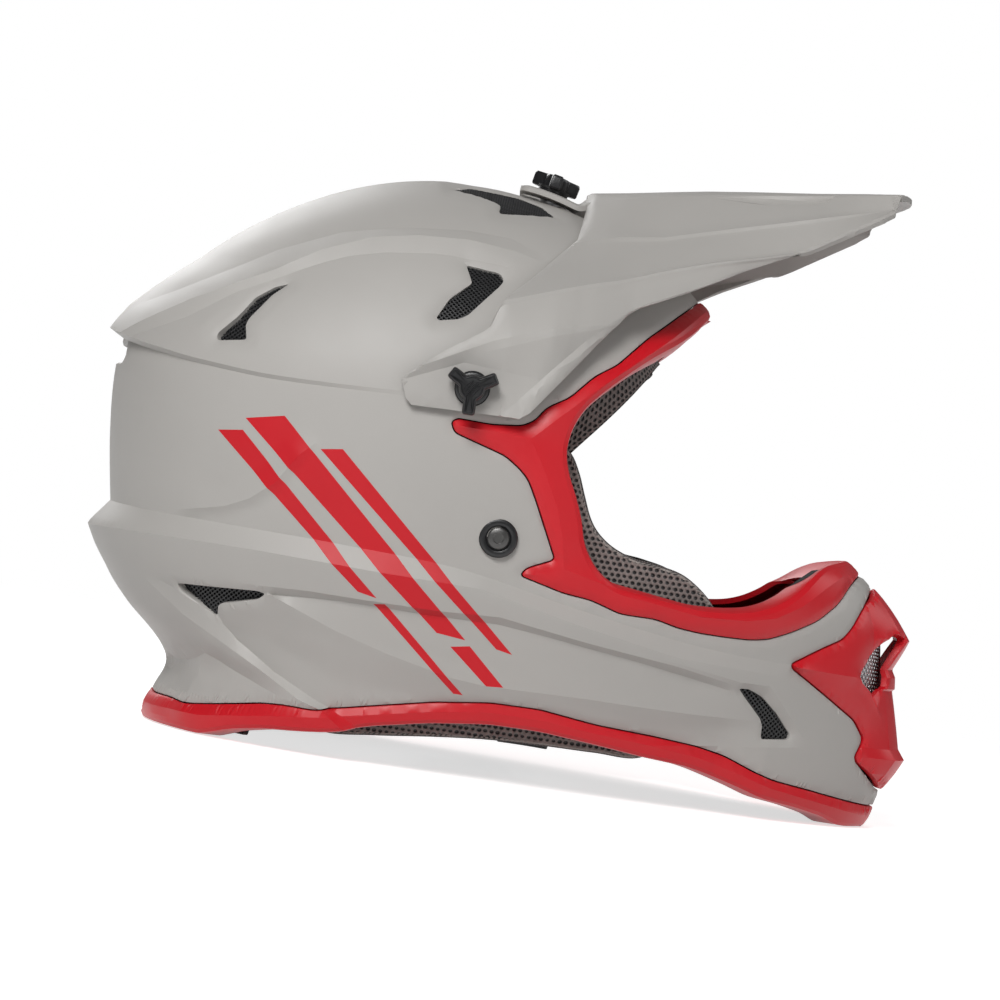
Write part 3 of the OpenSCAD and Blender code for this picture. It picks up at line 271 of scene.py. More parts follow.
# outlines of the side view, as [x, z]; FAR lies beyond the object
FAR = 400.0
PORT_EDGE = [
    [FAR, 211], [71.5, 210.5], [64.5, 200.5], [57, 193], [46, 184.5], [37, 176], [28.5, 167.5],
    [21.5, 159.5], [17.5, 150], [16.6, 141], [19, 132.5], [24, 122.5], [27.5, 114], [29.5, 105.5],
    [33.5, 98.5], [39, 92.8], [46, 89.3], [58, 88], [72, 86.3], [82, 85.2], [96, 86.2],
    [107, 88.6], [115, 92.4], [122.5, 98.6], [128, 106], [133.5, 111.3], [145.5, 115.3], [FAR, 115.4]]
PORT_SEAM = [
    [FAR, 222], [68, 219.5], [63.5, 214.1], [50.6, 200.7], [43.5, 193.7], [31.8, 179.6],
    [23.6, 173.7], [14.4, 162.9], [5.5, 157.2], [1.7, 151.2], [-3.2, 148.2], [-15.8, 146.7],
    [-29.8, 147], [-32, 145.4], [-30.2, 141.6], [-8, 135.4], [-0.9, 130.6], [2.8, 127],
    [7.2, 119.1], [13.2, 107.2], [18.3, 97], [17.2, 95.4], [7.8, 91], [5.5, 87.9], [24.1, 83.5],
    [35.8, 82.4], [48.8, 78.5], [63.6, 78.6], [73.8, 76.3], [83, 75.5], [94.3, 75.4],
    [105.6, 75.7], [113.4, 77.2], [122.8, 81.4], [133.5, 87.5], [142.2, 96], [147.8, 105.5],
    [152.8, 110], [FAR, 110.2]]
RIM_EDGE = [
    [170, 0], [158, 0], [150, 3.8], [136, 6.8], [122, 8.7], [110, 12.4], [93, 16.8], [86, 18.1],
    [68, 19.5], [48, 21.7], [24, 23.8], [3, 23.7], [-21, 20.6], [-45, 15.6], [-62, 10.9],
    [-74, 9.3], [-90, 7.8], [-104, 4.9], [-112, 2], [-118, 0], [-150, 0]]
RIM_SEAM = [
    [-148, 11.3], [-134.3, 12.4], [-125.7, 11.3], [-107, 15.2], [-93, 18], [-82.6, 18.9],
    [-70.7, 18.8], [-59.3, 21], [-22, 29.3], [1.6, 33], [22, 33.3], [47, 30.1], [72, 28.7],
    [91, 27.1], [104, 24.6], [117, 19.7], [125.6, 17.2], [143, 14.6], [161.4, 11.4], [172.8, 9.6]]
BELOW_RIM = [[FAR, 0]] + RIM_EDGE + [[-FAR, 0], [-FAR, -FAR], [FAR, -FAR]]
BELOW_SEAM = [[-FAR, 11.3]] + RIM_SEAM + [[FAR, 9], [FAR, -FAR], [-FAR, -FAR]]
MOUTH_SEAM = [
    [FAR, 106], [160.5, 105.6], [155.9, 96.8], [150.7, 86], [146.9, 80.7], [139.1, 76.3],
    [132.8, 72.4], [125.6, 67.7], [126.3, 65.9], [144.4, 55.6], [158.3, 47.4], [163.7, 40.4],
    [163.8, 37.4], [161.3, 30.6], [176, 17.6], [FAR, 17.6]]
CROWN_VENT = [
    [-48.2, 246.8], [-41, 249.6], [-33, 249.2], [-20, 248.6], [-10, 246], [-3.5, 241.6],
    [-13.6, 240.3], [-26.2, 238.4], [-27.1, 239.3], [-26.8, 242.5], [-31.6, 244.4], [-39.3, 246]]
FRONT_VENT = [
    [-36.8, 212.1], [-22.3, 210.9], [-20.1, 208.1], [-21.4, 205.4], [-32.5, 190.8],
    [-36.2, 188.4], [-44, 186.6], [-45.3, 187.5], [-41, 196.7], [-33, 204.7]]
SIDE_VENT = [
    [-108.7, 192.7], [-114.7, 186.8], [-122.1, 175.4], [-123, 172.3], [-121.3, 166],
    [-133.4, 164], [-134.1, 166.7], [-127.1, 175.4], [-121.6, 184.6], [-114.3, 190.5]]
LOWER_VENT = [
    [-135, 62.1], [-99.8, 64.9], [-96.8, 63.9], [-99.9, 61.1], [-115.8, 56.4], [-117.1, 55],
    [-117.6, 50.7], [-119, 50.4], [-133.1, 58.8]]
CHIN_VENT = [
    [103.9, 54.6], [108.4, 54.9], [115.4, 52.2], [123.1, 46], [130.3, 38.1], [129.9, 35.6],
    [118, 34.3], [117.5, 35.4], [117.6, 39.8], [116.2, 42.8]]
REAR_SLOT = [[-FAR, 150], [-177.6, 150], [-176.4, 153], [-175.6, 158], [-FAR, 158]]
BELT_LINE = [[-186, 91], [-147, 90], [-103, 89.6], [-69, 89], [-18, 86.5], [37, 76.7], [97, 68.6], [190, 67]]
BELT_KEYS = [[-175, 1.0], [-146, 0.62], [-102, 0.5], [-40, 0.42], [40, 0.3], [130, 0.05], [150, 0]]
SPOILER_LINE = [[-184, 162], [-171, 158.5], [-157, 156], [-138, 153.5], [-105, 151.5], [-42, 153.5]]
SPOILER_KEYS = [[-182, 1.0], [-165, 0.55], [-138, 0.3], [-90, 0.15], [-42, 0]]
HINGE_X, HINGE_Z = -26.0, 160.0
RIVET_X, RIVET_Z = -6.0, 101.5
TOP_TILT = 12.0

# creases of the side view, as [x, z]
BELT_LOW = [[-183.3, 80.5], [-146.4, 81.8], [-102.5, 82.1], [-68.4, 81.4], [-54.5, 81], [-10.3, 80.6],
            [30, 72], [75, 64], [120, 62]]
RIB_TOP = [[-182.5, 166.9], [-148.8, 186.7], [-115.9, 206.2], [-90.5, 217.5], [-64.5, 223.5],
           [-39.2, 226.3], [-20.2, 226], [-7.3, 221]]
RIB_OUT = [[-173.7, 159.7], [-146.5, 178.3], [-113.6, 196.3], [-96.5, 207.1], [-76.4, 215.5],
           [-58.1, 219.1], [-38.2, 220.5], [-17.9, 219.8], [-5.5, 217.7]]
RIB_IN = [[-170.1, 159.3], [-147.9, 171.1], [-129.4, 185.1], [-113.1, 194.2], [-95.7, 202.9],
          [-85.6, 207.3], [-70.2, 211.2], [-50.5, 213.8], [-37.2, 214.2], [-23.1, 213.8], [-10.1, 211.3]]
CRESCENT = [[-141.7, 91.7], [-119, 97.1], [-108.9, 101.9], [-99.6, 109.6], [-91.4, 122.5], [-84.2, 129.8]]
GROOVE_UP = [[-152.4, 65.7], [-133.8, 65.9], [-107.2, 67.1], [-79.2, 68.5], [-52.6, 68.5], [-25, 68.8],
             [-0.9, 70.2], [36.7, 64.9], [74.7, 60.5], [102.1, 55.6]]
GROOVE_LOW = [[-95.6, 63.9], [-78.7, 65.2], [-66.1, 66], [-52.3, 66], [-24.7, 66], [-0.4, 66.6],
              [20.3, 64.6], [61.7, 59.4], [100.8, 53]]
PANEL = [[-152.4, 65.6], [-95.8, 64.8], [-66.3, 53.6], [-44.2, 47.5], [-16.7, 41.7], [-2.3, 40.5],
         [40.5, 41.4], [86.7, 41.1], [116.3, 41.6]]
STRIP_OUT = [[-152.4, 65.7], [-149.6, 62.9], [-131.8, 49.7], [-117.1, 42.6], [-95.6, 32.4], [-78, 23],
             [-65.5, 19.2], [-50, 8]]
STRIP_IN = [[-152.4, 66.5], [-137.7, 60.5], [-118, 50.1], [-108, 41.2], [-90.1, 31.2], [-72.2, 23.6],
            [-58, 18], [-42, 8]]
FOOT = [[-139.7, 30.8], [-135.4, 28], [-130, 28.7], [-125.2, 30.6], [-120.4, 34.2], [-109.7, 29.6],
        [-94.4, 24.9], [-80.2, 21.1]]
FOOT_V = [[-120.8, 34.5], [-125, 11.4]]
CHIN_TOP = [[66.7, 63.1], [102.9, 57.4], [116.2, 57.4], [124.1, 49.5], [139, 33.5]]
CHIN_LOW = [[62, 24.5], [91.1, 27.8], [139, 33.5]]
TRIM_RIDGE = [[-32, 144.6], [0.4, 143.6], [6, 135], [10.7, 126.6], [15.7, 117.1], [20, 104], [22, 93.6],
              [35.9, 90.4], [60, 85.5], [81.5, 82.3], [101.4, 83.3], [113.6, 86.1], [124.1, 92.1],
              [134, 101], [142, 107]]
TRIM_ARM = [[0.4, 143.6], [11, 154.5], [27, 170.5], [40, 182], [54, 196], [66, 210]]
RIM_RIDGE = [[-146, 6.5], [-134, 7.6], [-118, 8.2], [-104, 11], [-88, 14], [-60, 18], [-22, 26], [3, 29.4],
             [24, 29.2], [48, 27], [70, 25.4], [92, 23], [110, 18.5], [124, 14.5], [144, 11], [170, 6]]

# painted stripes: a plain racing motif of tapered bars that run down the side
STRIPE_FROM = np.array([-112.0, 139.0])
STRIPE_ALONG = np.array([0.757, -0.654])
STRIPE_ACROSS = np.array([0.654, 0.757])


def slash(start, end, middle, wide, narrow, skew):
    """A bar that narrows from start to end, with slanted ends."""
    def at(along, across):
        return list(STRIPE_FROM + STRIPE_ALONG * along + STRIPE_ACROSS * across)
    return [at(start, middle - wide / 2), at(start + skew, middle + wide / 2),
            at(end + skew, middle + narrow / 2), at(end, middle - narrow / 2)]


STRIPES = [slash(*row) for row in (
    (0, 118, 0, 13, 7, 10), (-4, 84, -14.5, 8, 4, 7), (30, 139, 12.5, 7, 3.5, 6),
    (92, 142, -13.5, 3.6, 2.6, 3), (126, 148, 0.2, 6.2, 5, 5))]


# relief of the shell: heights and depths in mm
BELT_OUT, SPOILER_OUT, RIB_OUTWARD = 10.5, 8.0, 2.1
GROOVE_DEEP, PANEL_DEEP, CHIN_DEEP, VENT_DEEP = 2.2, 3.2, 1.6, 0.9
CRESCENT_HIGH, FOOT_DEEP, FOOT_V_HIGH = 1.6, 2.0, 1.4


def over(q, line):
    """Height over a line of the side view, along z."""
    k = np.asarray(line, float)
    return q[:, 1] - np.interp(q[:, 0], k[:, 0], k[:, 1])


def ramp(t, low, high):
    """0 at low and 1 at high, straight between them."""
    return np.clip((t - low) / (high - low), 0, 1)


def relief(q):
    """Height of the moulded relief over the bare form, in mm, at side-view points."""
    x = q[:, 0]
    out = np.zeros(len(q))
    # belt: a ledge over the lower half, which fades towards the front
    down = spline(BELT_LINE, x) - q[:, 1]
    ledge = np.maximum(spline(BELT_LINE, x) - np.interp(x, *np.array(BELT_LOW).T), 2.5)
    fall = np.interp(down, [0, 8, 18, 26, 38, 50], [1, 1, 0.68, 0.4, 0.08, 0])
    out += BELT_OUT * spline(BELT_KEYS, x) * ramp(down / ledge, 0, 1) * fall
    # spoiler: an overhang above its line
    up = q[:, 1] - spline(SPOILER_LINE, x)
    out += (SPOILER_OUT * spline(SPOILER_KEYS, x) * ramp(up, 0, 1.6)
            * np.interp(up, [0, 14, 29, 46], [1, 0.85, 0.35, 0]))
    # rib over the dome
    top, mid, low = over(q, RIB_TOP), over(q, RIB_OUT), over(q, RIB_IN)
    rise = np.where(mid > 0, -top / np.maximum(mid - top, 0.1), low / np.maximum(low - mid, 0.1))
    out += RIB_OUTWARD * np.clip(rise, 0, 1) * ramp(x, -4, -34) * ramp(x, -184, -166)
    # groove under the belt, and the panel below it that falls back towards the rim
    g_up, g_low, pan = -over(q, GROOVE_UP), -over(q, GROOVE_LOW), -over(q, PANEL)
    side = np.where(g_low < 0, g_up / np.maximum(g_up - g_low, 0.3), -pan / np.maximum(g_low - pan, 0.3))
    out -= GROOVE_DEEP * np.clip(side, 0, 1) * ramp(x, -100, -92) * ramp(x, 104, 84)
    strip = over(q, STRIP_OUT)
    wide = strip - over(q, STRIP_IN)
    within = np.clip(strip / np.maximum(wide, 0.5), 0, 1)
    steep = np.interp(x, [-60, -20], [0.16, 0.27])
    out -= np.clip(pan * steep, 0, PANEL_DEEP) * within * ramp(g_up, 0, 4) * ramp(x, 120, 100)
    # ridges and valleys
    d, s, w = seg_distance(q, CRESCENT)
    flank = np.where(s > 0, ramp(d, 9, 0), ramp(d, 3.5, 0))
    out += CRESCENT_HIGH * flank * ramp(w, 0, 0.15) * ramp(w, 1, 0.85)
    d, s, w = seg_distance(q, FOOT)
    flank = np.where(s > 0, ramp(d, 6, 0), ramp(d, 14, 0))
    out -= FOOT_DEEP * flank * ramp(w, 0, 0.12) * ramp(w, 1, 0.7)
    out += FOOT_V_HIGH * ramp(seg_distance(q, FOOT_V)[0], 9, 0)
    chin = ramp(-over(q, CHIN_TOP), 0, 5) * ramp(over(q, CHIN_LOW), 0, 8)
    out -= CHIN_DEEP * chin * ramp(x, 62, 100) * ramp(x, 142, 133)
    for poly in (FRONT_VENT, SIDE_VENT, CROWN_VENT):
        out -= VENT_DEEP * ramp(seg_distance(q, poly, True)[0], 6, 1)
    return out


# constrained triangles
def chain(start, count, closed):
    """Edges between points that follow each other."""
    edges = [(i, i + 1) for i in range(start, start + count - 1)]
    return edges + [(start + count - 1, start)] if closed else edges


def clear_of(points, fixed, distance):
    """Which points lie farther than a distance from all the fixed ones."""
    tree = kdtree.KDTree(len(fixed))
    for i, p in enumerate(fixed):
        tree.insert(p, i)
    tree.balance()
    return np.array([tree.find(p)[2] > distance for p in points], bool)


def compact(tris, count):
    """The points that the triangles use, the triangles on these alone, and each point's new index."""
    used = np.unique(tris)
    remap = -np.ones(count, int)
    remap[used] = np.arange(len(used))
    return used, remap[tris], remap


def crease_edges(result, remap, first, last):
    """Pairs of new indices along the crease lines, which are the given edges from first up to last."""
    pairs = set()
    for (a, c), source in zip(result[1], result[4]):
        if any(first <= i < last for i in source) and remap[a] >= 0 and remap[c] >= 0:
            pairs.add(frozenset((int(remap[a]), int(remap[c]))))
    return pairs


class Patch:
    """A region of the right half of the bare form as a triangle mesh.

    keep holds outlines whose inside stays, or nothing for the whole half. cut holds outlines whose
    inside goes. lines are creases, which the triangles follow.
    """

    def __init__(self, keep, cut, lines, step, edge_step=1.6):
        self.keep = [crop_side(k) for k in keep]
        self.cut = [crop_side(k) for k in cut]
        pts, edges = [], []

        def add_line(p, closed):
            b, v = side_to_bv(dense(p, edge_step, closed))
            gap = np.linalg.norm(np.diff(flat_of(b, v), axis=0), axis=1) > 1e-4
            apart = np.concatenate([[True], gap])
            edges.extend(chain(sum(len(q) for q in pts), int(apart.sum()), closed))
            pts.append(np.stack([b[apart], v[apart]], -1))

        for k in self.keep + self.cut:
            add_line(k, True)
        bounding = len(edges)
        for line in lines:
            add_line(crop_side(line), False)
        cons = np.vstack(pts)
        free = self._grid(step)
        free = free[self._chosen(flat_of(free[:, 0], free[:, 1]), edge_step)]
        placed = (skin_point(q[:, 0], q[:, 1]) for q in (free, cons))
        free = free[clear_of(*placed, 0.55 * step)]
        allp = np.vstack([cons, free])
        flat = flat_of(allp[:, 0], allp[:, 1])
        # the middle plane is an edge too, so that the mirror image can be welded on
        crossing = len(edges)
        for end in (0, 180):
            row = np.flatnonzero(allp[:, 0] == end)
            row = row[np.argsort(allp[row, 1])]
            row = [int(i) for k, i in enumerate(row) if k == 0 or allp[i, 1] - allp[row[k - 1], 1] > 1e-4]
            edges.extend(zip(row[:-1], row[1:]))
        r = delaunay_2d_cdt([Vector(p) for p in flat], edges, [], 0, 1e-5)
        fv = np.array([tuple(p) for p in r[0]])
        tris = np.array([f for f in r[2]], int)
        rr = np.linalg.norm(fv, axis=1)
        b = np.degrees(np.arctan2(fv[:, 1], fv[:, 0]))
        ends = np.where(fv[:, 0] > 0, 0.0, 180.0)
        b = np.where(np.abs(fv[:, 1]) < 1e-4, ends, np.clip(b, 0, 180))
        v = 90 - rr / PER_DEGREE
        tris = tris[self._chosen(fv[tris].mean(axis=1), edge_step)]
        tris = tris[~((b[tris] == 0) | (b[tris] == 180)).all(axis=1)]
        used, self.tris, remap = compact(tris, len(fv))
        self.b, self.v = b[used], v[used]
        self.creases = crease_edges(r, remap, bounding, crossing)
        self.base = skin_point(self.b, self.v)
        self.normal = outward(self.b, self.v)
        self.side = self.base[:, [0, 2]]
        a, c, d = (self.base[self.tris[:, i]] for i in range(3))
        n = np.cross(c - a, d - a)
        flip = (n * self.normal[self.tris[:, 0]]).sum(1) < 0
        self.tris[flip] = self.tris[flip][:, ::-1]
        mid = (np.abs(self.b) < 1e-6) | (np.abs(self.b - 180) < 1e-6)
        self.base[mid, 1] = 0
        self.normal[mid, 1] = 0
        self.normal /= np.linalg.norm(self.normal, axis=1)[:, None]
        self.bound = open_edges(self.tris, mid)

    @staticmethod
    def _grid(step):
        """Free points over the whole half, about a step apart, in staggered rows."""
        rows = []
        for i, v in enumerate(np.arange(-87, 88.6, step / PER_DEGREE)):
            bb = np.linspace(0, 180, 361)
            ring = skin_point(bb, np.full_like(bb, v))
            s = run_of(ring)
            t = np.linspace(0, s[-1], max(4, int(round(s[-1] / step))) + 1)
            if i % 2:
                t = np.concatenate([[0], (t[:-1] + t[1:]) / 2, [s[-1]]])
            rows.append(np.stack([np.interp(t, s, bb), np.full(len(t), v)], -1))
        return np.vstack(rows + [np.array([[90.0, 89.9]])])

    def _chosen(self, flat, edge_step):
        """Which points of the unrolled half belong to the region."""
        good = np.ones(len(flat), bool)
        if self.keep:
            good[:] = False
            for k in self.keep:
                good |= inside(flat, flat_of(*side_to_bv(dense(k, edge_step, True))))
        for k in self.cut:
            good &= ~inside(flat, flat_of(*side_to_bv(dense(k, edge_step, True))))
        return good & (height(90 - np.linalg.norm(flat, axis=1) / PER_DEGREE) > -0.5)


def open_edges(tris, mid):
    """The edges on one triangle only, apart from those that lie on the middle plane."""
    seen = {(int(t[i]), int(t[(i + 1) % 3])) for t in tris for i in range(3)}
    return sorted((a, b) for a, b in seen if (b, a) not in seen and not (mid[a] and mid[b]))


def distance_to(points, segments, base):
    """Distance of points to edges given as pairs of indices into base."""
    tree = kdtree.KDTree(4 * len(segments))
    for k, (a, b) in enumerate(segments):
        for j in range(4):
            tree.insert(base[a] + (base[b] - base[a]) * j / 4, 4 * k + j)
    tree.balance()
    return np.array([tree.find(p)[2] for p in points])


def mesh_object(name, verts, faces, materials, indices=None, uv=None):
    """A mesh piece from points in mm; uv is one [u, v] in mm for each vertex."""
    me = bpy.data.meshes.new(name)
    corners = [tuple(int(i) for i in f) for f in faces]
    me.from_pydata([tuple(p) for p in np.asarray(verts) * MM], [], corners)
    me.update()
    me.polygons.foreach_set("use_smooth", [True] * len(me.polygons))
    for m in (materials if isinstance(materials, (list, tuple)) else [materials]):
        me.materials.append(m)
    if indices is not None:
        me.polygons.foreach_set("material_index", [int(i) for i in indices])
    if uv is not None:
        layer = me.uv_layers.new(name="UVMap")
        corner = np.zeros(len(me.loops), int)
        me.loops.foreach_get("vertex_index", corner)
        layer.data.foreach_set("uv", (np.asarray(uv, float)[corner] * MM).ravel())
    ob = bpy.data.objects.new(name, me)
    scene.collection.objects.link(ob)
    return ob


def dress(ob, body, nodes):
    """The piece rides on its body and stands for its CAD nodes, which it hides."""
    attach(ob, body)
    if nodes:
        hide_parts(*nodes)
    return ob


CREASE_DEGREES = 5.0


def sharp_edges(ob, degrees, creases=()):
    """Edges over a limit, and creases over a lower one, are shaded as edges."""
    bm = bmesh.new()
    bm.from_mesh(ob.data)
    for e in bm.edges:
        if len(e.link_faces) == 2:
            angle = math.degrees(e.calc_face_angle(0))
            line = frozenset((e.verts[0].index, e.verts[1].index)) in creases
            if angle > degrees or (line and angle > CREASE_DEGREES):
                e.smooth = False
    bm.to_mesh(ob.data)
    bm.free()


def facing(points, faces, direction):
    """The faces, turned over together if the first of them looks against the direction."""
    a, b, c = (points[faces[0][i]] for i in range(3))
    if np.dot(np.cross(b - a, c - a), direction) < 0:
        return [f[::-1] for f in faces]
    return faces


def painted(middles, outlines):
    """1 for each triangle whose middle lies in one of the outlines, and 0 for the others."""
    paint = np.zeros(len(middles), int)
    for q in outlines:
        paint |= inside(middles, np.array(q)).astype(int)
    return paint


def both_sides(verts, faces):
    """Adds the mirror image, welded at the middle plane. Returns points, faces and the images' indices."""
    v = np.asarray(verts, float).copy()
    n = len(v)
    mid = np.abs(v[:, 1]) < 0.01
    v[mid, 1] = 0
    new = np.arange(n)
    other = v[~mid] * [1, -1, 1]
    new[~mid] = n + np.arange(len(other))
    out = [list(f) for f in faces]
    out += [[int(new[i]) for i in reversed(f)] for f in faces]
    return np.vstack([v, other]), out, new


def ring_quads(rings, n, closed=False, start=0):
    """Quads between rings of n points that follow one another, and from the last to the first if closed."""
    faces = []
    for k in range(rings if closed else rings - 1):
        a, b = start + k * n, start + (k + 1) % rings * n
        for i in range(n):
            j = (i + 1) % n
            faces.append([a + i, a + j, b + j, b + i])
    return faces


def edge_roll(d, r):
    """How far a rounded edge of radius r lies below the face, at a distance d from the edge."""
    t = np.clip(1 - d / r, 0, 1)
    return r * (1 - np.sqrt(np.maximum(0, 1 - t * t)))


def closed_plate(name, outer, inner, tris, bound, materials, limit, creases=(), paint=None):
    """Outer and inner faces of a sheet on the right half, walls along its edge, and the mirror image."""
    n = len(outer)
    faces = [list(t) for t in tris] + [[n + i for i in reversed(t)] for t in tris]
    for a, b in bound:
        faces.append([b, a, n + a])
        faces.append([b, n + a, n + b])
    v, f, new = both_sides(np.vstack([outer, inner]), faces)
    index = None
    if paint is not None:
        one = [int(p) for p in paint] + [0] * (len(faces) - len(tris))
        index = one + one
    ob = mesh_object(name, v, f, materials, indices=index)
    lines = set(creases)
    for c in creases:
        lines.add(frozenset(int(new[i]) for i in c))
    sharp_edges(ob, limit, lines)
    return ob


# materials
def new_material(name, values):
    """A material, its nodes, and its surface shader with these values."""
    m = bpy.data.materials.new(name)
    m.use_nodes = True
    b = m.node_tree.nodes["Principled BSDF"]
    for k, v in values.items():
        b.inputs[k].default_value = v
    return m, m.node_tree, b


def node(nt, kind, **values):
    """A new node with its settings and the values of its inputs."""
    n = nt.nodes.new(kind)
    for k, v in values.items():
        if hasattr(n, k):
            setattr(n, k, v)
        else:
            n.inputs[k].default_value = v
    return n


def maths(nt, operation, a, b=None):
    """A Math node on sockets or numbers."""
    n = node(nt, "ShaderNodeMath", operation=operation)
    for i, q in enumerate((a, b)):
        if q is None:
            continue
        if isinstance(q, (int, float)):
            n.inputs[i].default_value = q
        else:
            nt.links.new(q, n.inputs[i])
    return n.outputs[0]


def object_coords(nt):
    return node(nt, "ShaderNodeTexCoord").outputs["Object"]


def noise(nt, scale, detail=2.0, coords=None):
    n = node(nt, "ShaderNodeTexNoise", Scale=scale, Detail=detail)
    nt.links.new(coords or object_coords(nt), n.inputs["Vector"])
    return n.outputs["Fac"]


def ramp_between(nt, source, low, high, dark, light):
    r = node(nt, "ShaderNodeValToRGB")
    e = r.color_ramp.elements
    e[0].position, e[1].position = low, high
    e[0].color, e[1].color = (*dark, 1), (*light, 1)
    nt.links.new(source, r.inputs["Fac"])
    return r.outputs["Color"]


def bump(nt, b, source, strength, distance):
    n = node(nt, "ShaderNodeBump", Strength=strength, Distance=distance)
    nt.links.new(source, n.inputs["Height"])
    nt.links.new(n.outputs["Normal"], b.inputs["Normal"])


def srgb(r, g, b):
    return tuple(c / 255 / 12.92 if c <= 10 else ((c / 255 + 0.055) / 1.055) ** 2.4 for c in (r, g, b))


def shades(color, amount):
    """A darker and a lighter shade of a colour, by a share of it."""
    return [max(0, q * (1 - amount)) for q in color], [min(1, q * (1 + amount)) for q in color]


def moulded(name, color, rough, grain, spec, amount, grain_scale=1400, metal=0.0):
    """Painted, moulded or machined: a fine grain, an uneven tone and an uneven gloss."""
    m, nt, b = new_material(name, {"Specular IOR Level": spec, "Metallic": metal})
    low, high = shades(color, amount)
    nt.links.new(ramp_between(nt, noise(nt, 22, 3.0), 0.3, 0.7, low, high), b.inputs["Base Color"])
    gloss = node(nt, "ShaderNodeMapRange")
    nt.links.new(noise(nt, 60, 4.0), gloss.inputs["Value"])
    gloss.inputs["To Min"].default_value = rough - 0.05
    gloss.inputs["To Max"].default_value = rough + 0.06
    nt.links.new(gloss.outputs["Result"], b.inputs["Roughness"])
    bump(nt, b, noise(nt, grain_scale), grain, 0.0004)
    return m


def uv_parts(nt):
    """The two parts of the UV point, which is in metres on the piece."""
    split = node(nt, "ShaderNodeSeparateXYZ")
    nt.links.new(node(nt, "ShaderNodeTexCoord").outputs["UV"], split.inputs[0])
    return split.outputs["X"], split.outputs["Y"]


def spacer_mesh(name, thread, hole, pitch_u=0.0030, pitch_v=0.0026, open_share=0.62):
    """3-D spacer fabric: rows of oval holes between knitted threads, with painted shade in the holes."""
    m, nt, b = new_material(name, {
        "Roughness": 0.88, "Specular IOR Level": 0.25, "Sheen Weight": 0.25, "Sheen Roughness": 0.5})
    u, v = uv_parts(nt)
    row = maths(nt, "DIVIDE", v, pitch_v)
    shift = maths(nt, "MULTIPLY", maths(nt, "MODULO", maths(nt, "ABSOLUTE", maths(nt, "FLOOR", row)), 2.0), 0.5)
    along = maths(nt, "ADD", maths(nt, "DIVIDE", u, pitch_u), shift)
    wobble = maths(nt, "MULTIPLY", maths(nt, "SUBTRACT", noise(nt, 260, 2.0), 0.5), 0.35)
    fu = maths(nt, "SUBTRACT", maths(nt, "FRACT", along), 0.5)
    fv = maths(nt, "SUBTRACT", maths(nt, "FRACT", row), 0.5)
    far = maths(nt, "SQRT", maths(nt, "ADD", maths(nt, "POWER", maths(nt, "ABSOLUTE", fu), 2.0),
                                maths(nt, "POWER", maths(nt, "ABSOLUTE", fv), 2.0)))
    far = maths(nt, "ADD", far, wobble)
    edge = open_share / 2
    # painted shade: the holes take the dark hole colour where the bump sinks them
    color = ramp_between(nt, far, edge - 0.06, edge + 0.1, hole, thread)
    tone = node(nt, "ShaderNodeMix", data_type="RGBA", blend_type="MULTIPLY")
    tone.inputs["Factor"].default_value = 1.0
    nt.links.new(color, tone.inputs["A"])
    nt.links.new(ramp_between(nt, noise(nt, 900, 3.0), 0.3, 0.75, (0.6,) * 3, (1,) * 3), tone.inputs["B"])
    nt.links.new(tone.outputs["Result"], b.inputs["Base Color"])
    fibres = maths(nt, "MULTIPLY", noise(nt, 1500, 2.0), 0.12)
    bump(nt, b, maths(nt, "ADD", maths(nt, "MINIMUM", far, 0.45), fibres), 1.0, 0.0016)
    return m


def webbing(name, color, pitch=0.0016):
    """Woven tape: cords across the width with a finer weave along it, with painted shade in its valleys and
    painted highlight on its cords.
    """
    m, nt, b = new_material(name, {"Roughness": 0.8, "Sheen Weight": 0.2, "Sheen Roughness": 0.5})
    u, v = uv_parts(nt)
    across = maths(nt, "SINE", maths(nt, "MULTIPLY", v, 2 * math.pi / pitch))
    half = maths(nt, "MULTIPLY", maths(nt, "FLOOR", maths(nt, "DIVIDE", v, pitch)), math.pi)
    along = maths(nt, "SINE", maths(nt, "ADD", maths(nt, "MULTIPLY", u, 2 * math.pi / (pitch * 0.8)), half))
    weave = maths(nt, "ADD", maths(nt, "MULTIPLY", across, 0.5), maths(nt, "MULTIPLY", along, 0.35))
    # painted shade and highlight: the tone follows the weave's height, darker in its valleys and lighter on its
    # cords
    low, high = shades(color, 0.45)
    share = maths(nt, "ADD", maths(nt, "MULTIPLY", weave, 0.5), 0.5)
    nt.links.new(ramp_between(nt, share, 0.2, 0.8, low, high), b.inputs["Base Color"])
    bump(nt, b, maths(nt, "ADD", weave, maths(nt, "MULTIPLY", noise(nt, 2500), 0.3)), 0.8, 0.0004)
    return m


def beaded(name, color, scale, rough=0.75, depth=0.0009):
    """Foam: pressed beads or cells, with painted shade in the seams between them and painted highlight on their
    middles.
    """
    m, nt, b = new_material(name, {"Roughness": rough, "Specular IOR Level": 0.3})
    cells = node(nt, "ShaderNodeTexVoronoi", Scale=scale, feature="SMOOTH_F1")
    nt.links.new(object_coords(nt), cells.inputs["Vector"])
    low, high = shades(color, 0.4)
    # painted shade and highlight: bead middles lighter, the sunken seams between beads darker
    nt.links.new(ramp_between(nt, cells.outputs["Distance"], 0.1, 0.7, high, low), b.inputs["Base Color"])
    low_first = maths(nt, "MULTIPLY", cells.outputs["Distance"], -1.0)
    bump(nt, b, maths(nt, "ADD", low_first, maths(nt, "MULTIPLY", noise(nt, 1800), 0.2)), 0.7, depth)
    return m


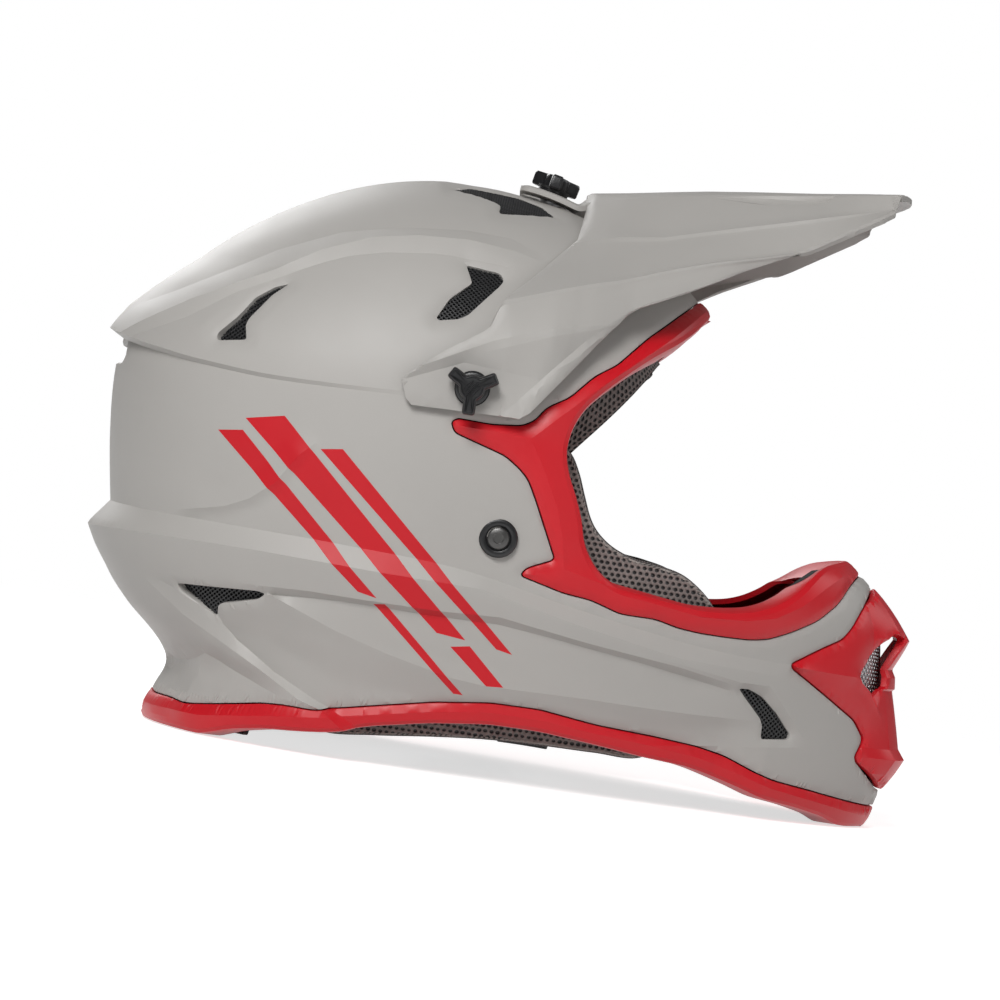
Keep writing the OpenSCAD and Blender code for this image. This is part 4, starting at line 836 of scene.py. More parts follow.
GREY = srgb(174, 171, 167)
RED = srgb(200, 12, 28)
M_SHELL = moulded("shell_paint", GREY, 0.5, 0.05, 0.4, 0.012)
M_STRIPE = moulded("stripe_paint", srgb(196, 12, 28), 0.46, 0.05, 0.4, 0.03)
M_VISOR = moulded("visor_paint", srgb(172, 169, 165), 0.5, 0.05, 0.4, 0.012)
M_RED = moulded("trim_red", RED, 0.4, 0.05, 0.45, 0.03)
M_BLACK = moulded("black_plastic", (0.008, 0.008, 0.009), 0.3, 0.12, 0.5, 0.1)
M_RUBBER = moulded("black_rubber", (0.01, 0.01, 0.01), 0.55, 0.3, 0.4, 0.1, grain_scale=2400)
M_MESH = moulded("mesh_black", (0.014, 0.014, 0.015), 0.42, 0.1, 0.5, 0.1)
M_STEEL = moulded("steel", (0.5, 0.5, 0.51), 0.3, 0.1, 0.5, 0.06, metal=1.0, grain_scale=3000)
M_CAP = moulded("rivet_cap", (0.09, 0.088, 0.086), 0.35, 0.1, 0.5, 0.06, metal=0.8, grain_scale=3000)
M_WIRE = moulded("wire_steel", (0.62, 0.62, 0.63), 0.34, 0.1, 0.5, 0.06, metal=1.0, grain_scale=3000)
# the second colour of each spacer fabric is painted shade in its holes
M_PAD = spacer_mesh("pad_mesh", srgb(148, 136, 132), (0.012, 0.011, 0.011))
M_PAD_SIDE = spacer_mesh("pad_side", srgb(168, 158, 152), (0.03, 0.028, 0.027), 0.0024, 0.0021, 0.5)
M_PIPING = webbing("pad_piping", srgb(70, 62, 60), 0.0012)
M_ROLL = spacer_mesh("roll_mesh", (0.022, 0.022, 0.024), (0.004, 0.004, 0.004), 0.0026, 0.0023, 0.5)
M_ROLL_PIPING = webbing("roll_piping", (0.02, 0.02, 0.02), 0.0012)
M_WEBBING = webbing("strap_webbing", (0.02, 0.02, 0.021))
M_THREAD = moulded("thread", (0.12, 0.12, 0.12), 0.7, 0.3, 0.3, 0.2, grain_scale=4000)
M_EPS = beaded("eps_foam", (0.022, 0.022, 0.023), 330)
M_FOAM = beaded("soft_foam", (0.016, 0.016, 0.017), 900, 0.9, 0.0005)

# shell and trims: gap at the seams, walls, the trims' lip, and how far they stand over the shell
SEAM = 0.6
WALL, PLATE = 4.0, 2.4
LIP_W, LIP_D = 3.0, 12.0
PROUD = 0.5


def grown(poly, by):
    """An outline moved outward by about that much (mm), by its corner normals."""
    p = crop_side(poly)
    area = 0.5 * np.sum(p[:, 0] * np.roll(p[:, 1], -1) - np.roll(p[:, 0], -1) * p[:, 1])
    s = 1 if area > 0 else -1
    a, b = np.roll(p, 1, axis=0), np.roll(p, -1, axis=0)
    e1 = p - a
    e2 = b - p
    n1 = np.stack([e1[:, 1], -e1[:, 0]], -1) / np.maximum(np.linalg.norm(e1, axis=1)[:, None], 1e-9)
    n2 = np.stack([e2[:, 1], -e2[:, 0]], -1) / np.maximum(np.linalg.norm(e2, axis=1)[:, None], 1e-9)
    n = n1 + n2
    n /= np.maximum((n * n).sum(1)[:, None] / 2, 0.5)
    return p + s * by * n


def closed_line(poly):
    """A closed outline as a line that comes back to its start."""
    p = crop_side(poly)
    return np.vstack([p, p[:1]])


VENTS = [rounded(p, 1.2) for p in (CROWN_VENT, FRONT_VENT, SIDE_VENT, LOWER_VENT, CHIN_VENT)]
PORT_SEAM_R = rounded(PORT_SEAM, 3)
PORT_EDGE_R = rounded(PORT_EDGE, 5)
MOUTH_SEAM_R = rounded(MOUTH_SEAM, 2.2)
BELOW_SEAM_R = rounded(BELOW_SEAM, 3)
BELOW_RIM_R = rounded(BELOW_RIM, 4)


def on_spline(line, first, last, count):
    """Points of the smooth line through a table, between two places."""
    xs = np.linspace(first, last, count)
    return np.stack([xs, spline(line, xs)], -1)


belt_top = on_spline(BELT_LINE, -184, 150, 120)
spoil_low = on_spline(SPOILER_LINE, -183, -42, 60)
shell_cuts = [grown(PORT_SEAM_R, SEAM), grown(BELOW_SEAM_R, SEAM), grown(MOUTH_SEAM_R, SEAM), REAR_SLOT]
shell_lines = [belt_top, spoil_low, spoil_low + [0, 1.6], BELT_LOW, RIB_TOP, RIB_OUT, RIB_IN, CRESCENT,
               GROOVE_UP[2:], GROOVE_LOW, PANEL[1:], STRIP_OUT, STRIP_IN, FOOT, FOOT_V, CHIN_TOP, CHIN_LOW]
shell_lines += [closed_line(s) for s in STRIPES]
SHELL_STEP = 2.0
shell_patch = Patch([], shell_cuts + VENTS, shell_lines, SHELL_STEP)
edge = distance_to(shell_patch.base, shell_patch.bound, shell_patch.base)
rise = relief(shell_patch.side)
shell_face = shell_patch.base + (rise - 0.8 * edge_roll(edge, 0.9))[:, None] * shell_patch.normal
shell_back = shell_patch.base + (rise - WALL)[:, None] * shell_patch.normal
middles = shell_patch.base[shell_patch.tris].mean(axis=1)[:, [0, 2]]
shell = closed_plate("shell_visual", shell_face, shell_back, shell_patch.tris, shell_patch.bound,
                     [M_SHELL, M_STRIPE], 26, shell_patch.creases, painted(middles, STRIPES))
dress(shell, "helmet", ["outer_shell"])


TRIM_STEP = 2.2


def trim(node_name, seam, hole, ridge, roll, tall, level_lip, creases=()):
    """A trim's plate with ridges along it, a round free edge and a lip turned inward there."""
    lines = [closed_line(grown(hole, d)) for d in (0.3 * roll, roll, LIP_W + 1)]
    p = Patch([seam], [hole], lines + list(ridge) + list(creases), TRIM_STEP, 1.3)
    free_edge, seam_edge = [], []
    for a, b in p.bound:
        m = ((p.side[a] + p.side[b]) / 2)[None]
        to_hole, to_seam = (seg_distance(m, crop_side(q), True)[0][0] for q in (hole, seam))
        (free_edge if to_hole < to_seam else seam_edge).append((a, b))
    d_free = distance_to(p.base, free_edge, p.base)
    d_seam = distance_to(p.base, seam_edge, p.base)
    d_ridge = np.min([seg_distance(p.side, r)[0] for r in ridge], axis=0)
    flank = np.minimum(d_seam, d_free)
    crest = tall * flank / np.maximum(flank + d_ridge, 3)
    h = relief(p.side) + PROUD + crest - edge_roll(d_free, roll) - 0.8 * edge_roll(d_seam, 0.9)
    face = p.base + h[:, None] * p.normal
    lip = d_free < LIP_W
    inward = p.normal
    if level_lip:
        level_normal = p.normal * [1, 1, 0]
        level_normal /= np.linalg.norm(level_normal, axis=1)[:, None]
        inward = np.where(lip[:, None], level_normal, p.normal)
    back = p.base + relief(p.side)[:, None] * p.normal - np.where(lip, LIP_D, PLATE)[:, None] * inward
    # the lower rim rests on the floor
    face[:, 2] = np.maximum(face[:, 2], 0)
    back[:, 2] = np.maximum(back[:, 2], 0.3)
    ob = closed_plate(f"{node_name}_visual", face, back, p.tris, p.bound, [M_RED], 34, p.creases)
    dress(ob, "helmet", [node_name])


trim("eyeport_trim", PORT_SEAM_R, PORT_EDGE_R, [TRIM_RIDGE, TRIM_ARM], 2.8, 1.5, False)
trim("base_trim", BELOW_SEAM_R, BELOW_RIM_R, [RIM_RIDGE], 2.2, 0.8, True,
     [STRIP_OUT, STRIP_IN, FOOT, FOOT_V, CHIN_LOW])

# mouthpiece: how far its front stands out at each height, its opening and the crease of its wing
MOUTH_OUT = [[14, 0], [17.6, 0.4], [25, 4.6], [31.8, 8], [36, 5], [61, 0.8], [62, 2], [67, 2], [70.2, 0.6],
             [83.7, 8.2], [88.3, 6.3], [105.3, 0.6], [110, 0]]
MOUTH_VENT = [[156.9, 65.6], [165.5, 86.5], [169.2, 85], [169.2, 63], [164.6, 57.4]]
MOUTH_WING = [[125, 67], [153.8, 65.7], [160.9, 60.1], [169, 48], [177.5, 35]]
MOUTH_FLAT, MOUTH_HALF = 15.0, 27.0


def front_x(y, z):
    """Front of the bare form at a distance y from the middle plane."""
    p = plan(level(z))
    share = np.maximum(0, 1 - np.minimum(np.abs(y) / p[3], 1) ** p[5]) ** (1 / NOSE)
    return p[0] + p[2] * share


zs = np.linspace(15, 108, 70)
mouth_lines = [np.stack([front_x(y, zs), zs], -1) for y in (MOUTH_FLAT, MOUTH_HALF)]
for z, out in MOUTH_OUT[1:-1]:
    ys = np.linspace(MOUTH_HALF, 0.01, 14)
    mouth_lines.append(np.stack([front_x(ys, np.full(14, z)), np.full(14, z)], -1))
p = Patch([MOUTH_SEAM_R], [MOUTH_VENT], mouth_lines + [MOUTH_WING], 2.0, 1.0)
d_edge = distance_to(p.base, p.bound, p.base)
d_wing = seg_distance(p.side, MOUTH_WING)[0]
d_wing = np.where(p.side[:, 0] > 172, d_wing + (p.side[:, 0] - 172) * 2, d_wing)
wing = 2.2 * d_edge / np.maximum(d_edge + d_wing, 0.1) * ramp(np.abs(p.base[:, 1]), 16, 27)
reach = np.interp(p.side[:, 1], *np.array(MOUTH_OUT).T)
reach = reach * ramp(np.abs(p.base[:, 1]), MOUTH_HALF, MOUTH_FLAT)
h = relief(p.side) + PROUD + wing - 0.8 * edge_roll(d_edge, 1.0)
face = p.base + h[:, None] * p.normal + reach[:, None] * [1, 0, 0]
back = p.base - PLATE * p.normal + 0.8 * reach[:, None] * [1, 0, 0]
mouthpiece = closed_plate("mouthpiece_visual", face, back, p.tris, p.bound, [M_RED], 24, p.creases)
dress(mouthpiece, "helmet", ["mouthpiece"])


# meshes behind the openings
def lattice(name, outline, place, pitch, share, thick, material, node_name, mirror):
    """A sheet of crossing wires: a frame round a hole for each cell of a slanted square lattice."""
    flat = np.array(outline, float)
    a = math.radians(45)
    ax = np.array([math.cos(a), math.sin(a)]) * pitch
    ay = np.array([-math.sin(a), math.cos(a)]) * pitch
    o = flat.mean(axis=0)
    span = int(np.abs(flat - o).max() * 1.5 / pitch) + 2
    grid = np.array([(i, j) for i in range(-span, span + 1) for j in range(-span, span + 1)])
    centres = o + grid[:, :1] * ax + grid[:, 1:] * ay
    centres = centres[inside(centres, flat)]
    corners = [ax / 2 + ay / 2, -ax / 2 + ay / 2, -ax / 2 - ay / 2, ax / 2 - ay / 2]
    rim = np.array([q for k in range(4) for q in (corners[k], (corners[k] + corners[(k + 1) % 4]) / 2)])
    ang = np.arctan2(rim[:, 1], rim[:, 0])
    hole = share * pitch / 2 * np.stack([np.cos(ang), np.sin(ang)], -1)
    verts, faces = [], []
    for q in centres:
        n = len(verts)
        for ring, h in ((rim, 0.0), ((rim + hole) / 2, 0.14), (hole, 0.0), (hole, -thick)):
            verts += [(q[0] + u, q[1] + w, h) for u, w in ring]
        faces += ring_quads(4, 8, start=n)
    v = np.array(verts)
    pts = place(v[:, 0], v[:, 1], v[:, 2])
    low, high = (place(np.array([o[0]]), np.array([o[1]]), np.array([h]))[0] for h in (0.0, 1.0))
    faces = facing(pts, faces, high - low)
    if mirror:
        n = len(pts)
        faces += [[n + i for i in f[::-1]] for f in faces]
        pts = np.vstack([pts, pts * [1, -1, 1]])
    ob = mesh_object(name, pts, faces, material)
    bm = bmesh.new()
    bm.from_mesh(ob.data)
    bmesh.ops.remove_doubles(bm, verts=bm.verts, dist=0.00002)
    bm.to_mesh(ob.data)
    bm.free()
    dress(ob, "helmet", [node_name])


VENT_PITCH, VENT_SHARE, VENT_THICK = 1.5, 0.74, 0.9
WIRE_PITCH, WIRE_SHARE, WIRE_THICK = 2.2, 0.8, 0.7
WIRE_DEEP = WALL + 0.5


def vent_mesh(word, outline, deep):
    """The outline is unrolled up the wall at its middle, so that the cells keep their size."""
    poly = grown(outline, 3)
    zz = np.linspace(poly[:, 1].min() - 2, poly[:, 1].max() + 2, 60)
    across = np.abs(skin(np.full(60, poly[:, 0].mean()), zz))
    arc = np.concatenate([[0], np.cumsum(np.hypot(np.diff(zz), np.diff(across)))])
    flat = np.stack([poly[:, 0], np.interp(poly[:, 1], zz, arc)], -1)

    def place(u, w, h):
        b, v = side_to_bv(np.stack([u, np.interp(w, arc, zz)], -1))
        return skin_point(b, v) - (deep - h)[:, None] * outward(b, v)

    lattice(f"{word}_vent_wires", flat, place, VENT_PITCH, VENT_SHARE, VENT_THICK, M_MESH,
            f"{word}_vent_meshes", True)


for word, outline, deep in (("crown", CROWN_VENT, 1.6), ("front", FRONT_VENT, 2.6), ("side", SIDE_VENT, 2.6),
                            ("lower", LOWER_VENT, 3.4), ("chin", CHIN_VENT, 2.8)):
    vent_mesh(word, outline, deep)


def end_point(y, z, deep, front):
    """A point behind the front or the back of the bare form, at a distance y from the middle plane."""
    v = level(z)
    p = plan(v)
    part = np.minimum(np.abs(y) / p[3], 1)
    if front:
        share = np.maximum(0, 1 - part ** p[5]) ** (1 / NOSE)
    else:
        share = -np.maximum(0, 1 - part ** p[4]) ** (1 / p[4])
    b = np.degrees(np.arccos(share))
    q = skin_point(b, v) - np.asarray(deep)[..., None] * outward(b, v)
    q[:, 1] *= np.where(y > 0, -1, 1)
    return q


def wires(word, y, low, high, front):
    """A metal mesh behind an opening at the end of the helmet, from -y to y and between two heights."""
    lattice(f"{word}_wires", [[-y, low], [y, low], [y, high], [-y, high]],
            lambda across, z, h: end_point(across, z, WIRE_DEEP - h, front),
            WIRE_PITCH, WIRE_SHARE, WIRE_THICK, M_WIRE, f"{word}_mesh", False)


wires("rear_slot", 58, 148, 160, False)
wires("mouth", 35, 52, 92, True)


# flat domains
def triangulate(outline, holes, lines, step, edge_step):
    """Triangles of the inside of a closed outline without its holes, with the lines as creases."""
    pts, edges = [], []
    closed = [np.asarray(outline, float)] + [np.asarray(h, float) for h in holes]
    for k, p in enumerate(closed + [np.asarray(q, float) for q in lines]):
        d = dense(p, edge_step, k < len(closed))
        edges.extend(chain(sum(len(q) for q in pts), len(d), k < len(closed)))
        pts.append(d)
        if k == len(closed) - 1:
            bounding = len(edges)
    cons = np.vstack(pts)

    def chosen(q):
        good = inside(q, closed[0])
        for h in closed[1:]:
            good &= ~inside(q, h)
        return good

    low, high = closed[0].min(axis=0), closed[0].max(axis=0)
    gx, gy = np.arange(low[0], high[0], step), np.arange(low[1], high[1], step * 0.87)
    free = np.array([[x + (j % 2) * step / 2, y] for j, y in enumerate(gy) for x in gx])
    free = free[chosen(free)]
    free = free[clear_of(np.pad(free, ((0, 0), (0, 1))), np.pad(cons, ((0, 0), (0, 1))), 0.55 * step)]
    r = delaunay_2d_cdt([Vector(q) for q in np.vstack([cons, free])], edges, [], 0, 1e-4)
    v = np.array([tuple(q) for q in r[0]])
    t = np.array([f for f in r[2]], int)
    used, t, remap = compact(t[chosen(v[t].mean(axis=1))], len(v))
    return v[used], t, crease_edges(r, remap, bounding, len(edges))


def facing_up(points, tris):
    """The triangles, turned over together if the sheet looks down."""
    a, b, c = (points[tris[:, i]] for i in range(3))
    return tris[:, ::-1] if np.cross(b - a, c - a).sum(axis=0)[2] < 0 else tris


def face_normals(points, tris):
    """Unit normals of the points of a mesh, weighted by area."""
    n = np.zeros_like(points)
    a, b, c = (points[tris[:, i]] for i in range(3))
    f = np.cross(b - a, c - a)
    for i in range(3):
        np.add.at(n, tris[:, i], f)
    return n / np.maximum(np.linalg.norm(n, axis=1, keepdims=True), 1e-9)


# visor: its ridge as [x, height over the crown line], and its right half's bends as [x, y, height]
CROWN_LINE, EAR_ROOM, VISOR_T = 251.6, 0.4, 3.0
RIDGE_KEYS = [[7, 4], [27, 7], [61, 12.8], [80, 15.3], [107, 18.6], [126, 21], [150, 23.6]]
VISOR_LINES = [
    [[-60, 27, -7], [8, 27, -4.6], [12, 30, -1.4], [26, 34, 2.2], [44, 38, 6], [60, 40, 8.7], [80, 42, 12],
     [107, 46, 15.5], [126, 50, 18.5], [150, 52, 22]],
    [[-60, 69, -26], [7, 68, -22.4], [20, 67, -18.6], [43, 66, -15], [58, 64, -10.5], [104, 62, 2.7],
     [137, 56, 12.9], [150, 53, 16.8]],
    [[-60, 123, -70], [-30, 123, -59], [-17, 119, -54], [3, 109, -46.5], [28, 96, -37.4], [49, 87, -28.8],
     [67, 82, -22.6], [86, 78, -17.4], [100, 75, -13], [106, 74, -11], [133, 66, 6.5], [150, 54, 15]],
    [[-60, 123, -93], [-53, 123, -91.6], [-39, 123, -84], [-29, 123, -78.5], [-14, 123, -72.5],
     [3, 119, -65.6], [22, 108, -59], [33, 99, -49], [57, 86, -37], [78, 78, -25], [97, 74, -17],
     [108, 73, -10.6], [133, 65.6, 6.2], [150, 53.6, 14.6]],
    [[-60, 123, -112], [-1, 123, -106], [6, 120, -94], [22, 108, -71], [33, 98, -56], [57, 83, -42],
     [78, 75.5, -29], [97, 72, -20], [108, 72.6, -11.6], [133, 65.2, 5.6], [150, 53.2, 14]]]
VISOR_SIDE = [
    [9, 300], [9, 249.1], [8.5, 244.2], [7.2, 231.2], [0.8, 223.3], [-9.9, 208.8], [-15.3, 202.5],
    [-18.7, 198.1], [-20.6, 192.7], [-22.6, 186.3], [-24.9, 183.7], [-39.4, 173.6], [-53.5, 161.6],
    [-54.9, 159.1], [-52, 152], [-49.4, 149.7], [-9, 150.8], [-5.4, 150.7], [-1.4, 153.7], [21.5, 186.2],
    [33, 200.7], [37.2, 204.3], [57.1, 214.8], [78.4, 227.1], [96.6, 236.3], [107.9, 243.4],
    [133.4, 260.3], [139.7, 264.8], [200, 300]]
VISOR_FRONT = [[0, 150], [16, 149], [34, 146], [54, 140], [70, 133], [120, 120]]
# the bends' places along the unrolled section, and the part of a step over which a bend is rounded
VISOR_S = [0, 1, 2, 3, 4, 5]
VISOR_ARC = [0, 42, 70, 114, 136, 154]
BEND = 0.05


def visor_raw(x, s):
    """Point of the visor's right half: s is 0 on the middle plane and 1 to 5 on its lines."""
    x, s = np.broadcast_arrays(np.asarray(x, float), np.asarray(s, float))
    rows = []
    for table in VISOR_LINES:
        t = np.array(table, float)
        y = np.interp(x, t[:, 0], t[:, 1]) + np.where(x < 10, EAR_ROOM, 0)
        rows.append((y, CROWN_LINE + np.interp(x, t[:, 0], t[:, 2])))
    f = np.abs(s)
    top = CROWN_LINE + np.interp(x, *np.array(RIDGE_KEYS).T)
    y = np.where(f < 1, s * rows[0][0], 0.0)
    z = np.where(f < 1, rows[0][1] + (top - rows[0][1]) * (1 - np.minimum(f, 1) ** 2.5), 0.0)
    for k in range(4):
        w = s - (k + 1)
        sel = (s >= k + 1) if k == 3 else (s >= k + 1) & (s < k + 2)
        y = np.where(sel, rows[k][0] + (rows[k + 1][0] - rows[k][0]) * w, y)
        z = np.where(sel, rows[k][1] + (rows[k + 1][1] - rows[k][1]) * w, z)
    return np.stack([x, -y, z], -1)


def visor_point(x, s):
    """The same with its bends rounded."""
    return (visor_raw(x, s - BEND) + 2 * visor_raw(x, s) + visor_raw(x, s + BEND)) / 4


def visor_s_of(x, z):
    """s where the visor's section at x reaches a height z."""
    s = np.linspace(0, 5, 501)
    zz = visor_point(np.full(501, x), s)[:, 2]
    return float(np.interp(-z, -zz, s))


side_line = dense(VISOR_SIDE[:-1] + [[151, 271.4]], 1.0)
side_xs = np.array([[x, visor_s_of(x, z)] for x, z in side_line])
front_s = np.linspace(0, 3, 61)
front_at = np.full(61, 150.0)
for turn in range(12):
    front_at = np.interp(np.abs(visor_point(front_at, front_s)[:, 1]), *np.array(VISOR_FRONT).T)
limit_at = np.interp(side_xs[:, 1], front_s, front_at)
side_xs = side_xs[(side_xs[:, 0] < limit_at) | (side_xs[:, 1] > 2.9)]
last_s = side_xs[-1, 1]
front_xs = np.stack([front_at, front_s], -1)[front_s < last_s][::-1]
visor_outline = np.vstack([side_xs, front_xs])


def to_flat(q):
    """[x, s] rows as [x, place along the unrolled section]."""
    q = np.asarray(q, float)
    return np.stack([q[:, 0], np.interp(q[:, 1], VISOR_S, VISOR_ARC)], -1)


def from_flat(q):
    return np.stack([q[:, 0], np.interp(q[:, 1], VISOR_ARC, VISOR_S)], -1)


outline_flat = to_flat(visor_outline)
gap = np.linalg.norm(outline_flat - np.roll(outline_flat, 1, axis=0), axis=1) > 0.05
outline_flat = outline_flat[gap]
# the scoop, and the bars in red paint near the tip
SCOOP = [[60, 1.06], [114, 1.04], [108, 1.44], [84, 1.34]]
VISOR_BARS = [
    [[112, 0.1], [148, 0.04], [147, 0.2], [118, 0.28]],
    [[124, 0.36], [146, 0.26], [145, 0.34], [128, 0.42]]]
SCOOP_DEEP, EAR_HIGH, RIDGE_HIGH = 2.2, 2.0, 0.7
scoop_flat = to_flat(SCOOP)
bars_flat = [to_flat(bar) for bar in VISOR_BARS]
# the ear: a crease with an overhang above it, a facet below it and a raised band along the lower edge
EAR_CREASE = [[-60, 160], [-53.2, 163], [-31, 174.9], [-20.5, 180.2], [2.3, 188.3], [21.7, 193.8], [40, 199]]
EAR_FACET = [[-60, 156.5], [-53, 160], [-30.7, 170], [0.1, 167.9], [12, 178], [21.7, 189], [40, 194]]
EAR_BAND = [[-14, 150], [-9.7, 154.7], [18.9, 190], [24, 196]]


def ear_relief(q):
    """Height of the ear's relief at side-view points."""
    up, low = over(q, EAR_CREASE), over(q, EAR_FACET)
    facet = np.clip(low / np.maximum(low - up, 0.3), 0, 1)
    d, sign, _ = seg_distance(q, EAR_BAND)
    band = 0.7 * np.where(sign < 0, ramp(d, 0, 1.6), 0)
    shape = np.where(up > 0, ramp(up, 34, 0), np.maximum(facet, band))
    return EAR_HIGH * shape * ramp(q[:, 0], 34, 18) * ramp(q[:, 1], 240, 215)


VISOR_STEP = 2.4
visor_lines = [to_flat([[x, k + off] for x in np.linspace(-58, 150, 90)])
               for k in (1, 2, 3, 4) for off in (-1.5 * BEND, 0, 1.5 * BEND)]
for line in (EAR_CREASE, EAR_FACET, EAR_BAND):
    visor_lines.append(to_flat([[x, visor_s_of(x, z)] for x, z in dense(line, 1.6) if z < 250]))
visor_lines += [closed_line(q) for q in [scoop_flat, grown(scoop_flat, -SCOOP_DEEP)] + bars_flat]
flat, tris, creases = triangulate(outline_flat, [], visor_lines, VISOR_STEP, 1.4)
xs_s = from_flat(flat)
pts = visor_point(xs_s[:, 0], xs_s[:, 1])
pts[np.abs(xs_s[:, 1]) < 1e-6, 1] = 0
tris = facing_up(pts, tris)
nrm = face_normals(pts, tris)
mid = np.abs(pts[:, 1]) < 1e-6
# the back is set off along normals that are averaged over the neighbours, so that it doesn't fold
for again in range(3):
    nrm[mid, 1] = 0
    near = np.zeros_like(nrm)
    np.add.at(near, tris.ravel(), np.repeat(nrm[tris].mean(axis=1), 3, axis=0))
    nrm = near / np.linalg.norm(near, axis=1)[:, None]
nrm[mid, 1] = 0
bound = open_edges(tris, mid)
d_edge = distance_to(pts, bound, pts)
d_scoop = seg_distance(flat, scoop_flat, True)[0]
hollow = SCOOP_DEEP * ramp(flat[:, 0], 56, 106) * ramp(d_scoop, 0, SCOOP_DEEP)
hollow = np.where(inside(flat, scoop_flat), hollow, 0)
for k, low, high in ((2, 4, 26), (3, -8, 12)):
    away = np.abs(flat[:, 1] - VISOR_ARC[k])
    hollow -= RIDGE_HIGH * ramp(away, 4, 0) * ramp(flat[:, 0], low, high) * ramp(flat[:, 0], 135, 110)
ear = ear_relief(pts[:, [0, 2]]) * smooth((xs_s[:, 1] - 1.5) / 1.2)
face = pts + (ear - hollow - 0.9 * edge_roll(d_edge, 1.0))[:, None] * nrm
back = pts - (VISOR_T + hollow)[:, None] * nrm
paint = painted(flat[tris].mean(axis=1), bars_flat)
visor = closed_plate("visor_visual", face, back, tris, bound, [M_VISOR, M_STRIPE], 30, creases, paint)
dress(visor, "visor", ["visor"])

# the visor's tongue, with the slot for the top screw
TONGUE_R, TONGUE_HALF, TONGUE_ROUND = 91.6, 22.0, 5
TONGUE_BACK, TONGUE_FRONT = -20.2, 14
RISE_FROM, RISE_LONG, UNDERSIDE_UP = 3.5, 10, 0.2
SLOT_FROM, SLOT_TO, SLOT_R = -16.8, 0.1, 3.5


def tongue_mid(x, y):
    """An arc round the hinge that rises under the visor's top and ends inside its thickness."""
    circle = HINGE_Z + np.sqrt((TONGUE_R + VISOR_T / 2) ** 2 - (x - HINGE_X) ** 2)
    ridge = CROWN_LINE + np.interp(x, *np.array(RIDGE_KEYS).T)
    line = np.array(VISOR_LINES[0], float)
    low = CROWN_LINE + np.interp(x, line[:, 0], line[:, 2])
    across = np.abs(y / np.interp(x, line[:, 0], line[:, 1]))
    plate = low + (ridge - low) * (1 - across ** 2.5) - VISOR_T / 2
    return circle + smooth((x - RISE_FROM) / RISE_LONG) * (plate - circle)


arc = np.linspace(0, np.pi / 2, 8)
tongue_outline = [[TONGUE_FRONT, 0], [TONGUE_BACK, 0]]
for t in arc[::-1]:
    tongue_outline.append([TONGUE_BACK + TONGUE_ROUND * (1 - math.sin(t)),
                           -TONGUE_HALF + TONGUE_ROUND * (1 - math.cos(t))])
tongue_outline += [[TONGUE_FRONT, -TONGUE_HALF]]
slot_hole = [[SLOT_TO + SLOT_R * math.sin(t), -SLOT_R * math.cos(t)] for t in arc[::-1]]
slot_hole += [[SLOT_FROM - SLOT_R * math.sin(t), -SLOT_R * math.cos(t)] for t in arc]
slot_hole += [[SLOT_FROM - SLOT_R, 0.0], [SLOT_TO + SLOT_R, 0.0]]
flat, tris, creases = triangulate(tongue_outline, [slot_hole], [], 2.4, 1.0)
pts = np.stack([flat[:, 0], flat[:, 1], tongue_mid(flat[:, 0], flat[:, 1])], -1)
tris = facing_up(pts, tris)
nrm = face_normals(pts, tris)
mid = np.abs(pts[:, 1]) < 1e-6
bound = open_edges(tris, mid)
d_edge = distance_to(pts, bound, pts)
face = pts + (VISOR_T / 2 - 0.9 * edge_roll(d_edge, 0.8))[:, None] * nrm
back = pts - (VISOR_T / 2 - UNDERSIDE_UP) * nrm
tongue = closed_plate("visor_tongue", face, back, tris, bound, [M_VISOR], 30)
dress(tongue, "visor", [])


# turned and lofted hard parts
def placed(points, x, z, y, side):
    """Points with their own z along the side's outward axis."""
    p = np.asarray(points, float)
    return np.stack([x + p[:, 0], side * (y + p[:, 2]), z - side * p[:, 1]], -1)


def at_top(points, r):
    """Points with their own z along the top screw's axis, from a distance r of the hinge."""
    t = math.radians(TOP_TILT)
    p = np.asarray(points, float)
    up = p[:, 2] + r
    return np.stack([HINGE_X + p[:, 0] * math.cos(t) + up * math.sin(t), p[:, 1],
                     HINGE_Z - p[:, 0] * math.sin(t) + up * math.cos(t)], -1)


def loft(loops):
    """Quads between closed loops of equal length, with fans on both ends."""
    n = len(loops[0])
    verts = [p for loop in loops for p in loop]
    faces = ring_quads(len(loops), n)
    for k, flip in ((0, True), (len(loops) - 1, False)):
        verts.append(np.mean(loops[k], axis=0))
        for i in range(n):
            tri = [k * n + i, k * n + (i + 1) % n, len(verts) - 1]
            faces.append(tri[::-1] if flip else tri)
    return np.array(verts, float), faces


def lathe(profile, n=48):
    """A turned part from [radius, height] rows, from the bottom to the top."""
    t = np.linspace(0, 2 * math.pi, n, endpoint=False)
    loops = [np.stack([r * np.cos(t), r * np.sin(t), np.full(n, h)], -1) for r, h in profile]
    return loft(loops)


def joined(parts):
    """Several parts, each as points and faces, in one."""
    verts, faces, count = [], [], 0
    for v, f in parts:
        verts.append(np.asarray(v, float))
        faces += [[count + int(i) for i in q] for q in f]
        count += len(v)
    return np.vstack(verts), faces


# thumb screws: their sizes, and where their feet lie, out to a side and up from the hinge
FOOT_D, HUB_D, LOBE, REACH, STEM_D, STEM_L = 13.5, 10.0, 5.4, 11.0, 6.0, 19.2
FOOT_Y, FOOT_R = 124.6, 95.8


